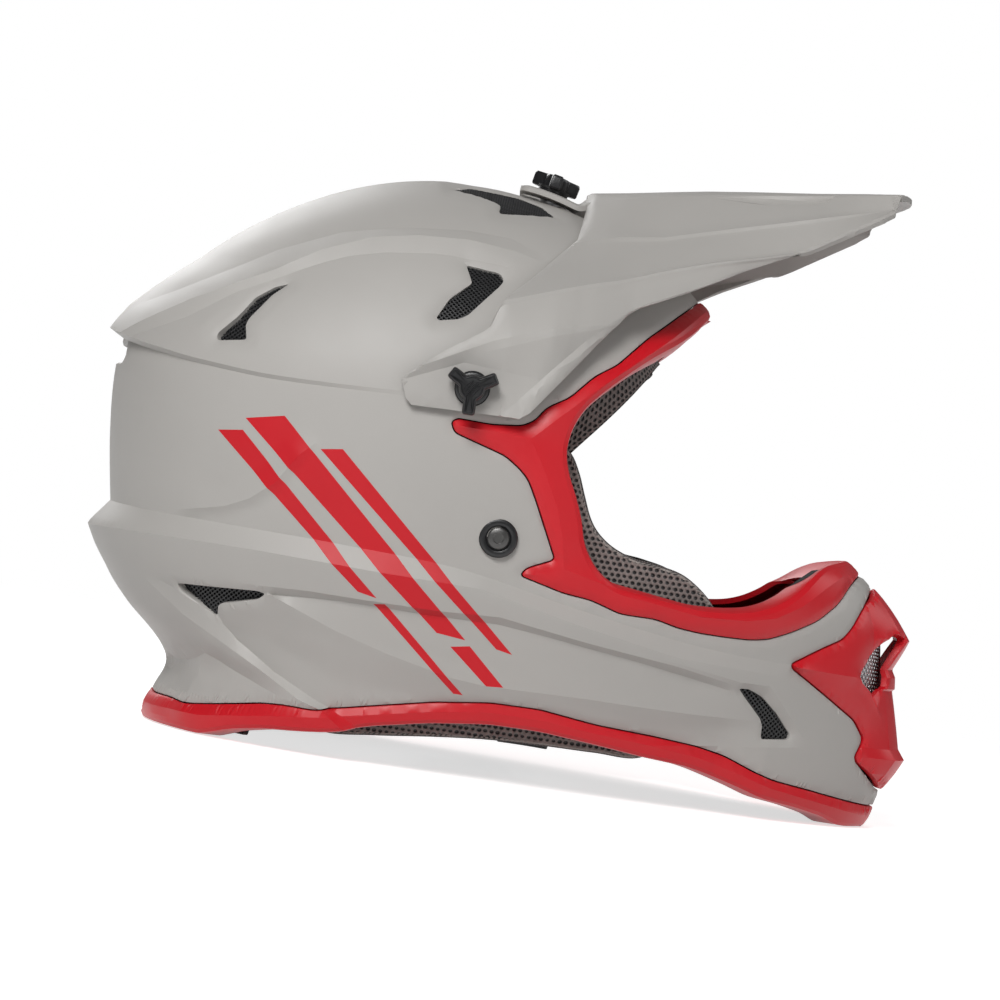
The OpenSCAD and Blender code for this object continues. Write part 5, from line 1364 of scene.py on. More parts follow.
def star(inset, n=180):
    """Outline of the head: a hub with three arms that end in blunt tips."""
    out = []
    for k in range(n):
        t = 2 * math.pi * k / n
        phi = (t - math.pi / 2 + math.pi / 3) % (2 * math.pi / 3) - math.pi / 3
        flank = LOBE / 2 / max(abs(math.sin(phi)), 1e-6)
        bevel = (REACH + 1.1) / (math.cos(phi) + 0.55 * abs(math.sin(phi)))
        r = max(min(flank, REACH / math.cos(phi), bevel), HUB_D / 2 + 0.4)
        out.append([r * math.cos(t), r * math.sin(t)])
    p = np.array(out)
    for again in range(2):
        p = (np.roll(p, 1, axis=0) + 2 * p + np.roll(p, -1, axis=0)) / 4
    return grown(p, -inset) if inset else p


def thumb_screw():
    """The screw with its underside at z = 0 and its stem below."""
    parts = [lathe([[FOOT_D / 2 - 0.4, 0], [FOOT_D / 2, 0.3], [FOOT_D / 2, 1.3], [FOOT_D / 2 - 0.4, 1.7],
                    [5.6, 1.9]])]
    stem = [[STEM_D / 2 - 0.9, -STEM_L]]
    for k in range(int(STEM_L) - 1):
        stem += [[STEM_D / 2 - 0.35, -STEM_L + 0.6 + k], [STEM_D / 2 - 0.02, -STEM_L + 1.1 + k]]
    parts.append(lathe(stem + [[STEM_D / 2 - 0.02, 0.1]], 32))
    levels = [(1.6, 0.5), (2.3, 0.05), (6.4, 0), (7.1, 0.25), (7.7, 0.7), (7.75, 1.05), (7.25, 1.35),
              (7.2, 1.6)]
    loops = []
    for h, inset in levels:
        q = star(inset)
        loops.append(np.column_stack([q, np.full(len(q), h)]))
    parts.append(loft(loops))
    # three raised ribs across the hub
    for off, long in ((-1.7, 2.6), (0, 3.6), (1.7, 2.6)):
        ring = []
        for h, w, stretch in ((7.1, 0.5, 1.0), (7.75, 0.45, 1.0), (7.98, 0.22, 0.94)):
            t = np.linspace(0, 2 * math.pi, 16, endpoint=False)
            u = long * stretch * np.sign(np.cos(t)) * np.abs(np.cos(t)) ** 0.5
            q = np.stack([u, off + w * np.sin(t) + 0.12 * (u / 2) ** 2, np.full(16, h)], -1)
            a = math.radians(55)
            ring.append(np.stack([q[:, 0] * math.cos(a) - q[:, 1] * math.sin(a),
                                  q[:, 0] * math.sin(a) + q[:, 1] * math.cos(a), q[:, 2]], -1))
        parts.append(loft(ring))
    v, f = joined(parts)
    # half a turn, as the photograph shows the arms
    return v * [-1, -1, 1], f


def outward_faces(f, side):
    """Faces of a part that was placed on a side: the left one's are turned over."""
    return [list(q)[::-1] for q in f] if side > 0 else f


v, f = thumb_screw()
for word, points in (("right", placed(v, HINGE_X, HINGE_Z, FOOT_Y, -1)),
                     ("left", placed(v, HINGE_X, HINGE_Z, FOOT_Y, 1)), ("top", at_top(v, FOOT_R))):
    ob = mesh_object(f"thumb_screw_{word}", points, f, M_BLACK)
    sharp_edges(ob, 28)
    dress(ob, f"screw_{word}", ["top_screw" if word == "top" else f"side_screw_{word}"])

# strap rivets: a steel cap in a black ring on each side
RING_D, CAP_D, RIVET_D = 16.0, 9.0, 5.0
RIVET_Y = float(skin(np.array([RIVET_X]), np.array([RIVET_Z]))[0])
PLATE_IN = 14.0
ring_v, ring_f = lathe([[RIVET_D / 2 + 0.3, 0.4], [RING_D / 2 - 0.3, -1.0], [RING_D / 2, -0.7],
                        [RING_D / 2, 0.7], [RING_D / 2 - 0.5, 1.3], [RING_D / 2 - 1.2, 1.5],
                        [CAP_D / 2 + 1.0, 1.45], [CAP_D / 2 + 0.4, 1.1], [CAP_D / 2 + 0.3, 0.5]], 64)
cap_v, cap_f = lathe([[RIVET_D / 2, -PLATE_IN], [RIVET_D / 2, 0.6], [CAP_D / 2 - 0.2, 0.8], [CAP_D / 2, 1.1],
                      [CAP_D / 2, 2.6], [CAP_D / 2 - 0.3, 3.1], [CAP_D / 2 - 0.9, 3.4], [2.2, 3.5], [1.9, 3.3],
                      [0.8, 3.3]], 64)
rings, caps = [], []
for side in (-1, 1):
    rings.append((placed(ring_v, RIVET_X, RIVET_Z, RIVET_Y, side), outward_faces(ring_f, side)))
    caps.append((placed(cap_v, RIVET_X, RIVET_Z, RIVET_Y, side), outward_faces(cap_f, side)))
for name, parts, material, node_name, slot in (
        ("rivet_rings_visual", rings, M_BLACK, "rivet_rings", "black_plastic"),
        ("strap_rivets_visual", caps, M_CAP, "strap_rivets", "steel")):
    v, f = joined(parts)
    ob = mesh_object(name, v, f, material)
    sharp_edges(ob, 32)
    dress(ob, "helmet", [node_name])

# small hidden metal and plastic parts keep their exact solids
for name, material in (("screw_washers", M_RUBBER), ("screw_inserts", M_STEEL), ("rivet_plates", M_STEEL)):
    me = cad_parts[name].data
    me.materials.clear()
    me.materials.append(material)


# foam parts: the solid with soft moulded edges
def moulded_foam(name, node_name, material, voxel, rounds):
    ob = bpy.data.objects.new(name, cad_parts[node_name].data.copy())
    scene.collection.objects.link(ob)
    ob.data.materials.clear()
    ob.data.materials.append(material)
    remesh = ob.modifiers.new("remesh", "REMESH")
    remesh.mode = "VOXEL"
    remesh.voxel_size = voxel * MM
    soften = ob.modifiers.new("soften", "SMOOTH")
    soften.factor = 0.5
    soften.iterations = rounds
    made = bpy.data.meshes.new_from_object(ob.evaluated_get(bpy.context.evaluated_depsgraph_get()))
    ob.modifiers.clear()
    ob.data = made
    made.name = name
    made.polygons.foreach_set("use_smooth", [True] * len(made.polygons))
    made.materials.clear()
    made.materials.append(material)
    return dress(ob, "helmet", [node_name])


COARSE = 1.0
moulded_foam("eps_liner_visual", "eps_liner", M_EPS, 2.4 * COARSE, 3)
moulded_foam("cheek_block_right_visual", "cheek_block_right", M_EPS, 2.0 * COARSE, 3)
moulded_foam("cheek_block_left_visual", "cheek_block_left", M_EPS, 2.0 * COARSE, 3)
moulded_foam("chin_foam_visual", "chin_foam", M_FOAM, 1.8 * COARSE, 4)


# tubes and ribbons
def resample(points, step, closed=False):
    """A smooth curve through the points, at even steps."""
    p = np.asarray(points, float)
    n = len(p)
    out = []
    for i in range(n if closed else n - 1):
        if closed:
            a, b, c, d = (p[(i + k) % n] for k in (-1, 0, 1, 2))
        else:
            a, b, c, d = (p[min(max(i + k, 0), n - 1)] for k in (-1, 0, 1, 2))
        t = np.linspace(0, 1, 12, endpoint=False)[:, None]
        out.append(0.5 * (2 * b + (c - a) * t + (2 * a - 5 * b + 4 * c - d) * t**2
                          + (3 * b - 3 * c + d - a) * t**3))
    q = np.vstack(out + ([] if closed else [p[-1:]]))
    loop = np.vstack([q, q[:1]]) if closed else q
    s = run_of(loop)
    m = max(3, int(round(s[-1] / step)))
    t = np.linspace(0, s[-1], m + 1)
    if closed:
        t = t[:-1]
    return np.stack([np.interp(t, s, loop[:, k]) for k in range(3)], -1)


def tube(path, r, closed=True, sides=8):
    """A round section swept along a path. Returns points, faces and UVs."""
    p = np.asarray(path, float)
    n = len(p)
    ahead = np.roll(p, -1, axis=0) if closed else np.vstack([p[1:], 2 * p[-1:] - p[-2:-1]])
    behind = np.roll(p, 1, axis=0) if closed else np.vstack([2 * p[:1] - p[1:2], p[:-1]])
    t = ahead - behind
    t /= np.maximum(np.linalg.norm(t, axis=1, keepdims=True), 1e-9)
    up = np.array([0.31, 0.52, 0.79])
    a = np.cross(t, up)
    a /= np.maximum(np.linalg.norm(a, axis=1, keepdims=True), 1e-9)
    for i in range(1, n):
        side = a[i - 1] - t[i] * np.dot(a[i - 1], t[i])
        a[i] = side / max(np.linalg.norm(side), 1e-9)
    b = np.cross(t, a)
    ang = np.linspace(0, 2 * math.pi, sides, endpoint=False)
    ring = a[:, None] * np.cos(ang)[None, :, None] + b[:, None] * np.sin(ang)[None, :, None]
    v = (p[:, None] + r * ring).reshape(-1, 3)
    faces = ring_quads(n, sides, closed)
    if not closed:
        faces += [list(range(sides))[::-1], [(n - 1) * sides + k for k in range(sides)]]
    run = run_of(p)
    uv = np.stack([np.tile(ang * r, n), np.repeat(run, sides)], -1)
    return v, faces, uv


def with_part(mesh, part, slot):
    """A mesh of points, faces, material indices and UVs, with one more part in that material slot."""
    points, faces, indices, uvs = mesh
    v, f, uv = part
    faces = faces + [[len(points) + q for q in face] for face in f]
    return np.vstack([points, v]), faces, indices + [slot] * len(f), np.vstack([uvs, uv])


# cushions: the head space that they line, and their thickness
HEAD_L, HEAD_W, HEAD_UP, SPACE_X, DOME = 108.0, 85.0, 75.0, -44.0, 0.7
SPACE_BACK = [[-20, HEAD_L - 26], [40, HEAD_L - 16], [80, HEAD_L - 6], [120, HEAD_L - 1], [WIDE_Z, HEAD_L]]
SPACE_SIDE = [[-20, 0.9 * HEAD_W], [60, 0.95 * HEAD_W], [120, HEAD_W], [WIDE_Z, HEAD_W]]
PAD_T, CHEEK_T, ROLL_T, BLOCK_IN = 9.0, 20.0, 15.0, 22.0
PAD_RIM, ROLL_RIM = 3.0, 3.5
WELT_R, CHANNEL_R, CORD_STEP = 1.1, 0.55, 1.6


def swell(s):
    """Fullness of a cushion: 1 in the middle, and 0 at s = 1 and s = -1."""
    return np.maximum(0, 1 - np.abs(s) ** 4) ** 0.6


def groove(d, wide, deep):
    """A sewn channel: a round valley of that half width."""
    return deep * np.maximum(0, 1 - (d / wide) ** 2) ** 2


def space_point(b, z, deep):
    """Wall of the head space, at a depth into the space, for a turn b and a height z."""
    v_up = np.arcsin(np.clip((z - WIDE_Z) / HEAD_UP, 0, 1))
    zz = np.where(z > WIDE_Z, WIDE_Z + (HEAD_UP - deep) * np.sin(v_up), z)
    c = np.where(z > WIDE_Z, np.cos(v_up) ** DOME, 1)
    r = np.radians(b)
    along = np.where(np.cos(r) > 0, HEAD_L, spline(SPACE_BACK, zz)) - deep
    return np.stack([SPACE_X + along * c * np.cos(r), (spline(SPACE_SIDE, zz) - deep) * c * np.sin(r), zz], -1)


def cushion(name, place, nu, nv, thick, back, materials, nodes, channels):
    """A closed cushion over shares u and v of its patch, with a welt along its edge and along its channels."""
    u, v = np.meshgrid(np.linspace(0, 1, nu + 1), np.linspace(0, 1, nv + 1), indexing="ij")
    u, v = u.ravel(), v.ravel()
    # points gather near the edge, where the cushion draws in
    u, v = (0.5 - 0.5 * np.cos(math.pi * q) for q in (u, v))
    top = place(u, v, thick(u, v))
    low = place(u, v, np.full(len(u), float(back)))
    g = top.reshape(nu + 1, nv + 1, 3)
    du = np.cumsum(np.linalg.norm(np.diff(g, axis=0), axis=2), axis=0)
    du = np.concatenate([np.zeros((1, nv + 1)), du])
    dv = np.cumsum(np.linalg.norm(np.diff(g, axis=1), axis=2), axis=1)
    dv = np.concatenate([np.zeros((nu + 1, 1)), dv], axis=1)
    uv = np.stack([(du - du[-1:] / 2).ravel(), dv.ravel()], -1)
    n = len(u)

    def at(i, j):
        return i * (nv + 1) + j

    faces = [[at(i, j), at(i + 1, j), at(i + 1, j + 1), at(i, j + 1)] for i in range(nu) for j in range(nv)]
    faces += [[n + q for q in f[::-1]] for f in faces]
    ring = [at(i, 0) for i in range(nu)] + [at(nu, j) for j in range(nv)]
    ring += [at(i, nv) for i in range(nu, 0, -1)] + [at(0, j) for j in range(nv, 0, -1)]
    for k, a in enumerate(ring):
        b = ring[(k + 1) % len(ring)]
        faces.append([a, n + a, n + b, b])
    pts = np.vstack([top, low])
    faces = facing(pts, faces, top[n // 2] - low[n // 2])
    mesh = (pts, faces, [0] * len(faces), np.vstack([uv, uv]))
    mesh = with_part(mesh, tube(resample(top[ring], CORD_STEP, True), WELT_R), 1)
    for line in channels:
        cu, cv = np.array(line, float).T
        path = resample(place(cu, cv, thick(cu, cv) - 0.25), CORD_STEP)
        mesh = with_part(mesh, tube(path, CHANNEL_R, False, 6), 1)
    ob = mesh_object(name, mesh[0], mesh[1], materials, mesh[2], mesh[3])
    dress(ob, "helmet", nodes)


# brow pad: two upright sewn channels and one along it; the span is in degrees to each side
BROW_SPAN, BROW_HIGH, BROW_WIDE = 56.0, 28.0, 110


def brow_place(u, v, t):
    """u runs from the right end to the left one, v upwards; t is the height over the wall."""
    b = (2 * u - 1) * BROW_SPAN
    z = 187 - 47 * (np.abs(b) / 55) ** 2.3 + v * BROW_HIGH
    return space_point(b, z, t)


def brow_thick(u, v):
    g, h = np.abs(2 * u - 1), np.abs(2 * v - 1)
    body = PAD_RIM + (PAD_T - PAD_RIM) * swell(g) * swell(h)
    d = np.minimum(np.abs(u - 0.3), np.abs(u - 0.7)) * BROW_WIDE
    return body - groove(d, 4, 1.9) - groove(np.abs(v - 0.5) * BROW_HIGH, 2.2, 1.0)


shares = np.linspace(0.05, 0.95, 14)
brow_channels = [[[0.3, c] for c in shares], [[0.7, c] for c in shares], [[c, 0.5] for c in shares]]
cushion("brow_pad_visual", brow_place, 110, 36, brow_thick, 0.4, [M_PAD, M_PIPING], ["brow_pad"],
        brow_channels)

# three crown pads from the brow to the back of the dome
CROWN_FROM, CROWN_TO, STRIP_W, CROWN_STEP = -118.0, 4.0, 26.0, 38.0


def dome_z(x, y):
    """Height of the head space's dome."""
    rho = np.hypot((x - SPACE_X) / HEAD_L, y / HEAD_W)
    return WIDE_Z + HEAD_UP * np.sqrt(np.maximum(0, 1 - rho ** (2 / DOME)))


def crown_thick(u, v):
    cross = np.abs(np.abs(u - 0.5) - 0.17) * (CROWN_TO - CROWN_FROM)
    return PAD_RIM + (PAD_T - PAD_RIM) * swell(2 * u - 1) * swell(2 * v - 1) - groove(cross, 3.5, 1.7)


def crown_pad(k, mid_y, nodes):
    def place(u, v, t):
        x = CROWN_FROM + u * (CROWN_TO - CROWN_FROM)
        y = mid_y + (v - 0.5) * STRIP_W * (1 - 0.25 * np.abs(2 * u - 1) ** 3)
        return np.stack([x, y, dome_z(x, y) - t], -1)

    across = [[[c, q] for q in np.linspace(0.06, 0.94, 10)] for c in (0.33, 0.67)]
    cushion(f"crown_pad_{k}", place, 90, 26, crown_thick, 0.4, [M_PAD, M_PIPING], nodes,
            across)


# the first strip stands for the node, which holds all three
crown_pad(1, -CROWN_STEP, ["crown_pads"])
crown_pad(2, 0.0, [])
crown_pad(3, CROWN_STEP, [])

# neck roll round the back of the rim
ROLL_IN, ROLL_LOW, ROLL_HIGH, ROLL_MID_X = 11.5, 3.7, 46.6, -46


def roll_place(u, v, t):
    """u runs from the right end round the back to the left end; t is the depth behind the form."""
    b = 126 + 108 * u
    z = ROLL_LOW + v * (ROLL_HIGH - ROLL_LOW)
    lev = level(z)
    right = np.minimum(b, 360 - b)
    q = skin_point(right + 2, lev) - skin_point(right - 2, lev)
    n = np.stack([q[:, 1], -q[:, 0], np.zeros(len(q))], -1)
    n /= np.maximum(np.linalg.norm(n, axis=1, keepdims=True), 1e-9)
    at = skin_point(right, lev)
    if np.dot(n[0], at[0] * [1, 1, 0] - [ROLL_MID_X, 0, 0]) < 0:
        n = -n
    out = at - (ROLL_IN + t)[:, None] * n
    out[:, 1] *= np.where(b > 180, -1, 1)
    return out


def roll_thick(u, v):
    d = np.minimum(np.abs(u - 0.33), np.abs(u - 0.67)) * 190
    body = ROLL_RIM + (ROLL_T - ROLL_RIM) * swell(2 * u - 1) * swell(2 * v - 1)
    return body - groove(np.abs(v - 0.5) * 43, 4, 2.6) - groove(d, 5, 2.2)


cushion("neck_roll_visual", roll_place, 130, 34, roll_thick, 0.3, [M_ROLL, M_ROLL_PIPING], ["neck_roll"],
        [[[c, 0.5] for c in np.linspace(0.03, 0.97, 24)]])

# cheek pads: a crowned face inside a sewn side band
CHEEK_MID = np.array([10.0, 66.0])
CHEEK_EDGE = [
    [-66, 10.4], [-45, 12.2], [-20, 15.5], [2, 17.7], [25, 18.6], [48, 18.8], [68, 19.5], [80, 32],
    [88, 45], [90, 58], [90, 70], [90, 80], [86, 88], [74, 96.5], [61, 99.5], [51, 100.7],
    [41.7, 104], [34.6, 109], [30, 115], [26, 124], [22, 133.5], [17, 141], [8, 146], [-6, 143],
    [-16, 130], [-24, 112], [-40, 98], [-58, 84], [-70, 62], [-73, 46], [-72, 30], [-71, 18]]
BAND, CHEEK_GROOVE, CHEEK_RIM = 0.87, 0.56, 6.0
cheek_line = resample([[x, 0, z] for x, z in CHEEK_EDGE], 2.2, True)[:, [0, 2]]


def cheek_point(s, h):
    """A ring of the pad at a share s of its outline; h is the depth behind the shell's face."""
    q = CHEEK_MID + s * (cheek_line - CHEEK_MID)
    return np.stack([q[:, 0], h - skin(q[:, 0], q[:, 1]), q[:, 1]], -1)


def cheek_face(s):
    """Depth of the pad's face behind the shell's, at a share of the outline."""
    return (BLOCK_IN + CHEEK_RIM + (CHEEK_T - CHEEK_RIM) * swell(s) - groove(abs(s - CHEEK_GROOVE), 0.06, 2.6)
            - groove(abs(s - BAND), 0.03, 0.9))


def cheek_pad(word, side):
    shares = [0.06, 0.12, 0.2, 0.28, 0.36, 0.44, 0.49, 0.52, 0.545, 0.56, 0.575, 0.6, 0.63, 0.68, 0.74, 0.8,
              0.84, 0.86, 0.87, 0.88, 0.9, 0.92, 0.94, 0.955, 0.97, 0.98, 0.99, 0.996, 1.0]
    rows = [(s, float(cheek_face(s))) for s in shares]
    rows += [(1.008, BLOCK_IN + 4.6), (1.01, BLOCK_IN + 3), (1.004, BLOCK_IN + 1.4), (0.99, BLOCK_IN + 0.4)]
    n = len(cheek_line)
    # the UVs run on round the edge, where the rings lie one behind the other
    flat = [CHEEK_MID + s * (cheek_line - CHEEK_MID) * (1 + 0.02 * max(0, k - len(shares) + 4))
            for k, (s, h) in enumerate(rows)]
    faces, index = [], []
    for k in range(len(rows) - 1):
        for i in range(n):
            j = (i + 1) % n
            faces.append([k * n + i, (k + 1) * n + i, (k + 1) * n + j, k * n + j])
            index.append(1 if rows[k][0] >= BAND else 0)
    verts = np.vstack([cheek_point(s, h) for s, h in rows])
    uv = np.vstack(flat)
    full = BLOCK_IN + CHEEK_T - float(skin(CHEEK_MID[:1], CHEEK_MID[1:])[0])
    tip = np.array([[CHEEK_MID[0], full, CHEEK_MID[1]]])
    rear = tip - [[0, CHEEK_T - 0.4, 0]]
    verts, uv = np.vstack([verts, tip, rear]), np.vstack([uv, CHEEK_MID[None], CHEEK_MID[None]])
    m = len(rows) * n
    for i in range(n):
        faces.append([m, i, (i + 1) % n])
        faces.append([m + 1, m - n + (i + 1) % n, m - n + i])
        index += [0, 0]
    mesh = (verts, facing(verts, faces, [0, 1, 0]), index, uv)
    for s, r, lower in ((1.0, WELT_R, 0), (BAND, 0.75, 0.2), (CHEEK_GROOVE, 0.6, 0.2)):
        path = resample(cheek_point(s, float(cheek_face(s)) - lower), CORD_STEP, True)
        mesh = with_part(mesh, tube(path, r), 2)
    # the welt of the slot that the strap comes out of
    t = np.linspace(0, 2 * math.pi, 40, endpoint=False)
    sx = 12.5 + 13.5 * np.sign(np.cos(t)) * np.abs(np.cos(t)) ** 0.6
    sz = 31 + 4.2 * np.sign(np.sin(t)) * np.abs(np.sin(t)) ** 0.8
    share = np.array([np.hypot(*(np.array([x, z]) - CHEEK_MID)) / 50.0 for x, z in zip(sx, sz)])
    deep = np.array([float(cheek_face(q)) for q in share])
    mesh = with_part(mesh, tube(np.stack([sx, deep - skin(sx, sz), sz], -1), WELT_R), 2)
    verts, faces, index, uv = mesh
    if side > 0:
        verts = verts * [1, -1, 1]
        faces = [f[::-1] for f in faces]
    ob = mesh_object(f"cheek_pad_{word}_visual", verts, faces, [M_PAD, M_PAD_SIDE, M_PIPING], index, uv)
    dress(ob, "helmet", [f"cheek_pad_{word}"])


cheek_pad("right", -1)
cheek_pad("left", 1)

# chin strap: its way on the right as [x, depth behind the shell's face, z], and the two rings
STRAP_W, STRAP_T, STRAP_ROOM = 22.0, 1.8, 3.4
STRAP_Y = RIVET_Y - WALL - STRAP_ROOM - STRAP_T / 2
STRAP_WAY = [[-6, 0, 101.5], [-5.6, 0, 91], [-4.4, 1.2, 78], [-2.6, 3, 64], [-0.4, 6.5, 53], [2.4, 11.5, 45],
             [5.4, 19, 39], [8.4, 28, 34.6], [11.6, 38, 31], [14.4, 48, 27.6]]
RING_X, RING_Y, RING_Z, RING_R, WIRE_D = 18.0, -34.0, (18.5, 25.0), 17.0, 4.0
BAR_D = WIRE_D + 0.4
route = [[RIVET_X, -STRAP_Y, RIVET_Z + STRAP_W / 2]]
for x, deep, z in STRAP_WAY:
    y = -STRAP_Y if deep < 1 else deep - float(skin(np.array([x]), np.array([z]))[0]) + RIVET_Y - STRAP_Y
    route.append([x, y, z])
route = np.array(route)


def ribbon(points, step=1.6):
    """Webbing with its width along x: a slim section with round edges."""
    p = resample(points, step)
    t = np.gradient(p, axis=0)
    t /= np.maximum(np.linalg.norm(t, axis=1, keepdims=True), 1e-9)
    n = np.cross([1, 0, 0], t)
    n /= np.maximum(np.linalg.norm(n, axis=1, keepdims=True), 1e-9)
    w, h = STRAP_W / 2, STRAP_T / 2
    half = [(-w + 0.5, -h), (-w / 2, -h * 0.9), (0, -h * 0.86), (w / 2, -h * 0.9), (w - 0.5, -h),
            (w - 0.1, -h * 0.6), (w, 0), (w - 0.1, h * 0.6)]
    section = half + [(-a, -b) for a, b in half]
    m = len(section)
    verts = np.vstack([[q + [a, 0, 0] + b * d for a, b in section] for q, d in zip(p, n)])
    faces = ring_quads(len(p), m)
    faces += [list(range(m))[::-1], [(len(p) - 1) * m + k for k in range(m)]]
    run = run_of(p)
    uv = np.array([[a, r] for r in run for a, b in section])
    return verts, faces, uv, p, n


def stitches(p, n, start, end, lift):
    """A sewn box with a cross: short threads that lie on the webbing, between two lengths along it."""
    run = run_of(p)
    w = STRAP_W / 2 - 2.6
    corners = [(-w, start), (w, start), (w, end), (-w, end), (-w, start), (w, end), (-w, end), (w, start)]
    parts = []
    for (a0, r0), (a1, r1) in zip(corners[:-1], corners[1:]):
        long = math.hypot(a1 - a0, r1 - r0)
        count = max(2, int(long / 2.6))
        for k in range(count):
            row = []
            for share in (0.12, 0.3, 0.5, 0.7, 0.88):
                t = (k + share) / count
                a, r = a0 + (a1 - a0) * t, r0 + (r1 - r0) * t
                at = np.array([np.interp(r, run, p[:, i]) for i in range(3)])
                d = np.array([np.interp(r, run, n[:, i]) for i in range(3)])
                arch = 0.22 * math.sin(math.pi * (share - 0.12) / 0.76)
                row.append(at + [a, 0, 0] + d * (lift + arch))
            v, f, _ = tube(row, 0.28, False, 6)
            parts.append((v, f, np.zeros((len(v), 2))))
    return parts


def strap(word, points, sewn):
    """One half of the strap; sewn holds the ends of a sewn box and its height over the middle line."""
    v, f, uv, p, n = ribbon(points)
    mesh = (v, f, [0] * len(f), uv)
    for box in sewn:
        for part in stitches(p, n, *box):
            mesh = with_part(mesh, part, 1)
    ob = mesh_object(f"strap_{word}_visual", mesh[0], mesh[1], [M_WEBBING, M_THREAD], mesh[2], mesh[3])
    sharp_edges(ob, 60)
    dress(ob, "helmet", [f"strap_{word}"])


# the right half turns round the bars of both rings, comes back and is sewn down
wrap = BAR_D / 2 + 0.35 + STRAP_T / 2
loop = [[RING_X - 1.2, RING_Y - 14, 25.6], [RING_X, RING_Y - 8, 26.6],
        [RING_X, RING_Y - 3, RING_Z[1] + wrap - 0.3]]
for z, angles in ((RING_Z[1], (60, 30, 0)), (RING_Z[0], (0, -30, -60, -90, -120))):
    for a in np.radians(angles):
        loop.append([RING_X, RING_Y + wrap * math.cos(a), z + wrap * math.sin(a)])
loop += [[RING_X, RING_Y - 6, 19.4], [RING_X - 0.6, RING_Y - 11, 22.6], [RING_X - 1.6, RING_Y - 16, 24.0],
         [RING_X - 2.6, RING_Y - 21, 25.2]]
strap("right", np.vstack([route, loop]), [(104, 118, 0.95)])
# the left half passes under both rings, up through them and back over the upper one
RUN_LOW = RING_Z[0] - WIRE_D / 2 - 1.4 - STRAP_T / 2
RUN_HIGH = RING_Z[1] + WIRE_D / 2 + 1.6 + STRAP_T / 2
TURN_Y = RING_Y + WIRE_D / 2 + 5
tail = [[RING_X - 1.2, 44, 23.6], [RING_X, 34, 19.6], [RING_X, 20, RUN_LOW + 1], [RING_X, 4, RUN_LOW],
        [RING_X, RING_Y + 22, RUN_LOW], [RING_X, TURN_Y + 4, RUN_LOW + 0.6], [RING_X, TURN_Y + 1, RUN_LOW + 3],
        [RING_X, TURN_Y, RUN_LOW + 6], [RING_X, TURN_Y, RUN_HIGH - 5], [RING_X, TURN_Y + 1, RUN_HIGH - 2],
        [RING_X, TURN_Y + 4, RUN_HIGH], [RING_X, TURN_Y + 14, RUN_HIGH + 0.2], [RING_X, 0, RUN_HIGH - 0.4],
        [RING_X, 10, RUN_HIGH - 1], [RING_X, 24, RUN_HIGH - 1]]
strap("left", np.vstack([route * [1, -1, 1], tail]), [])

for word, z in (("inner", RING_Z[0]), ("outer", RING_Z[1])):
    t = np.linspace(0, math.pi, 26)
    bend = np.stack([RING_X + RING_R * np.cos(t), RING_Y + RING_R * np.sin(t), np.full(26, z)], -1)
    bar = [[RING_X - RING_R + k * 2 * RING_R / 9, RING_Y, z] for k in range(1, 9)]
    corners = [[[RING_X + side * (RING_R - 0.8), RING_Y + 0.6, z]] for side in (-1, 1)]
    path = resample(np.vstack([bend[1:-1], corners[0], bar, corners[1]]), 1.2, True)
    v, f, uv = tube(path, WIRE_D / 2, True, 16)
    ob = mesh_object(f"d_ring_{word}_visual", v, f, M_STEEL)
    dress(ob, f"ring_{word}", [f"d_ring_{word}"])

SNAP_Y = 16
snap = lathe([[2, 25.9], [5.6, 25.9], [6, 26.3], [6, 27], [5.5, 27.4], [2, 27.5], [2, 29.6], [5.6, 29.7],
              [6, 30.1], [6, 30.7], [5.4, 31.2], [3.6, 31.25], [3.2, 30.9], [1, 30.9]], 40)
ob = mesh_object("strap_snap_visual", snap[0] + [RING_X, SNAP_Y, 0], snap[1], M_BLACK)
sharp_edges(ob, 34)
dress(ob, "helmet", ["strap_snap"])


# stage and light, in metres: the floor is as white as the background from FLOOR_FAR on
FLOOR_NEAR, FLOOR_FAR, FLOOR_HALF = 0.35, 1.1, 14
FLOOR_TONE, FLOOR_GLOW = 0.8, 0.66


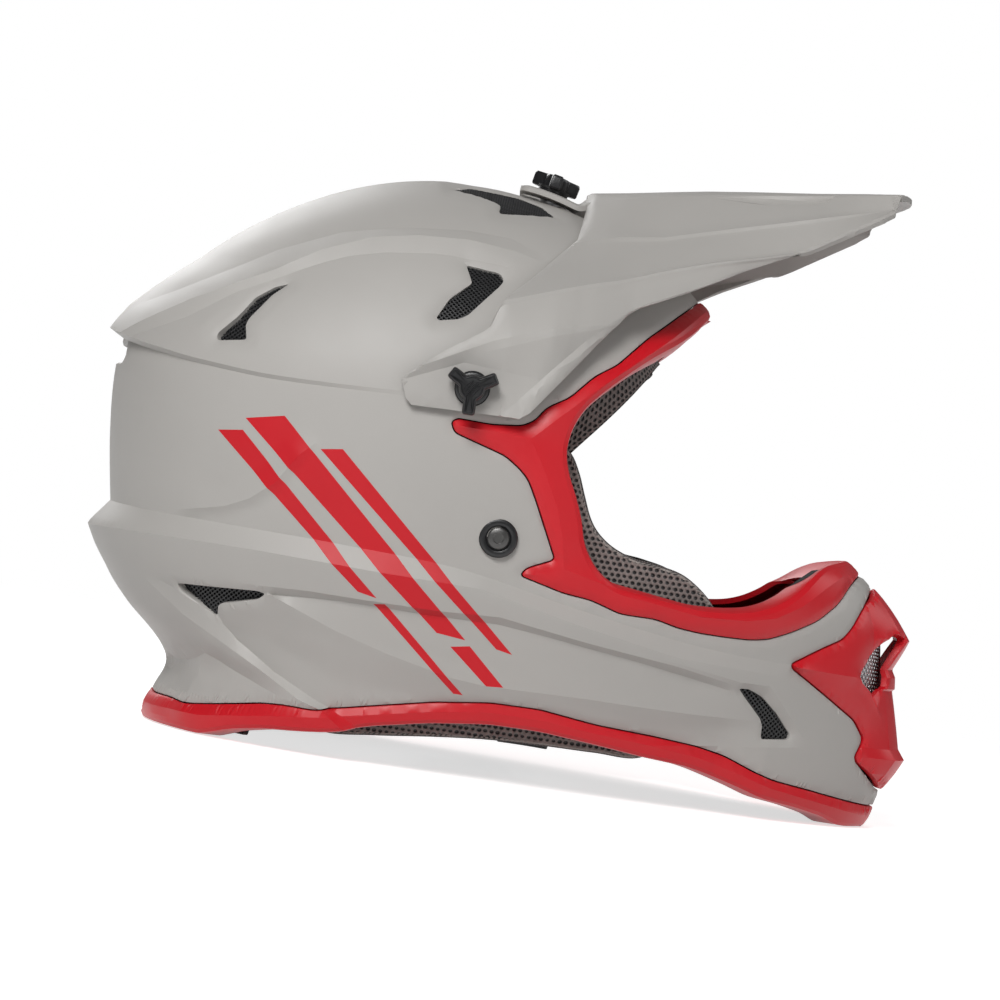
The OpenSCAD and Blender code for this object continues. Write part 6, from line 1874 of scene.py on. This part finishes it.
def stage_plane():
    """A white floor that keeps the object's shadow; what it adds is seen by the camera and in reflections."""
    me = bpy.data.meshes.new("floor")
    s = FLOOR_HALF
    me.from_pydata([(-s, -s, 0), (s, -s, 0), (s, s, 0), (-s, s, 0)], [], [(0, 1, 2, 3)])
    ob = bpy.data.objects.new("floor", me)
    scene.collection.objects.link(ob)
    m, nt, b = new_material("floor", {
        "Base Color": (FLOOR_TONE, FLOOR_TONE, FLOOR_TONE, 1), "Roughness": 0.9, "Specular IOR Level": 0.1,
        "Emission Color": (1, 1, 1, 1)})
    path = node(nt, "ShaderNodeLightPath")
    seen = maths(nt, "MAXIMUM", path.outputs["Is Camera Ray"], path.outputs["Is Glossy Ray"])
    seen = maths(nt, "MAXIMUM", seen, path.outputs["Is Transmission Ray"])
    away = node(nt, "ShaderNodeVectorMath", operation="LENGTH")
    nt.links.new(object_coords(nt), away.inputs[0])
    blend = node(nt, "ShaderNodeMapRange", interpolation_type="SMOOTHSTEP")
    nt.links.new(away.outputs["Value"], blend.inputs["Value"])
    blend.inputs["From Min"].default_value = FLOOR_NEAR
    blend.inputs["From Max"].default_value = FLOOR_FAR
    nt.links.new(maths(nt, "MULTIPLY", seen, FLOOR_GLOW), b.inputs["Emission Strength"])
    glow = node(nt, "ShaderNodeEmission")
    mix = nt.nodes.new("ShaderNodeMixShader")
    nt.links.new(maths(nt, "MULTIPLY", seen, blend.outputs["Result"]), mix.inputs[0])
    nt.links.new(b.outputs[0], mix.inputs[1])
    nt.links.new(glow.outputs[0], mix.inputs[2])
    nt.links.new(mix.outputs[0], nt.nodes["Material Output"].inputs["Surface"])
    me.materials.append(m)


def world_light(strength):
    """Even light from all around, with a white background for the camera."""
    w = bpy.data.worlds.new("studio")
    scene.world = w
    w.use_nodes = True
    nt = w.node_tree
    for n in list(nt.nodes):
        nt.nodes.remove(n)
    out = nt.nodes.new("ShaderNodeOutputWorld")
    lit = node(nt, "ShaderNodeBackground", Color=(1, 1, 1, 1), Strength=strength)
    white = node(nt, "ShaderNodeBackground", Color=(1, 1, 1, 1), Strength=1)
    mix = nt.nodes.new("ShaderNodeMixShader")
    path = node(nt, "ShaderNodeLightPath")
    nt.links.new(path.outputs["Is Camera Ray"], mix.inputs[0])
    nt.links.new(lit.outputs[0], mix.inputs[1])
    nt.links.new(white.outputs[0], mix.inputs[2])
    nt.links.new(mix.outputs[0], out.inputs["Surface"])


def area_light(name, at, to, size, power):
    """A square lamp at a point, turned to another; its power is in watts."""
    d = bpy.data.lights.new(name, "AREA")
    d.shape = "RECTANGLE"
    d.size = size
    d.size_y = size
    d.energy = power
    ob = bpy.data.objects.new(name, d)
    scene.collection.objects.link(ob)
    p = Vector(at)
    turn = (Vector(to) - p).to_track_quat("-Z", "Y")
    ob.matrix_world = Matrix.Translation(p) @ turn.to_matrix().to_4x4()


stage_plane()
world_light(0.13)
area_light("key", (-0.5, -1.7, 1.35), (0, 0, 0.13), 0.8, 33)
area_light("fill", (1.3, -1.3, 0.5), (0, 0, 0.12), 1.2, 2.5)
area_light("rim", (-0.9, 1.7, 1.1), (0, 0, 0.13), 1.0, 17)
area_light("front", (1.6, 0.5, 1.1), (0, 0, 0.15), 1.0, 6)
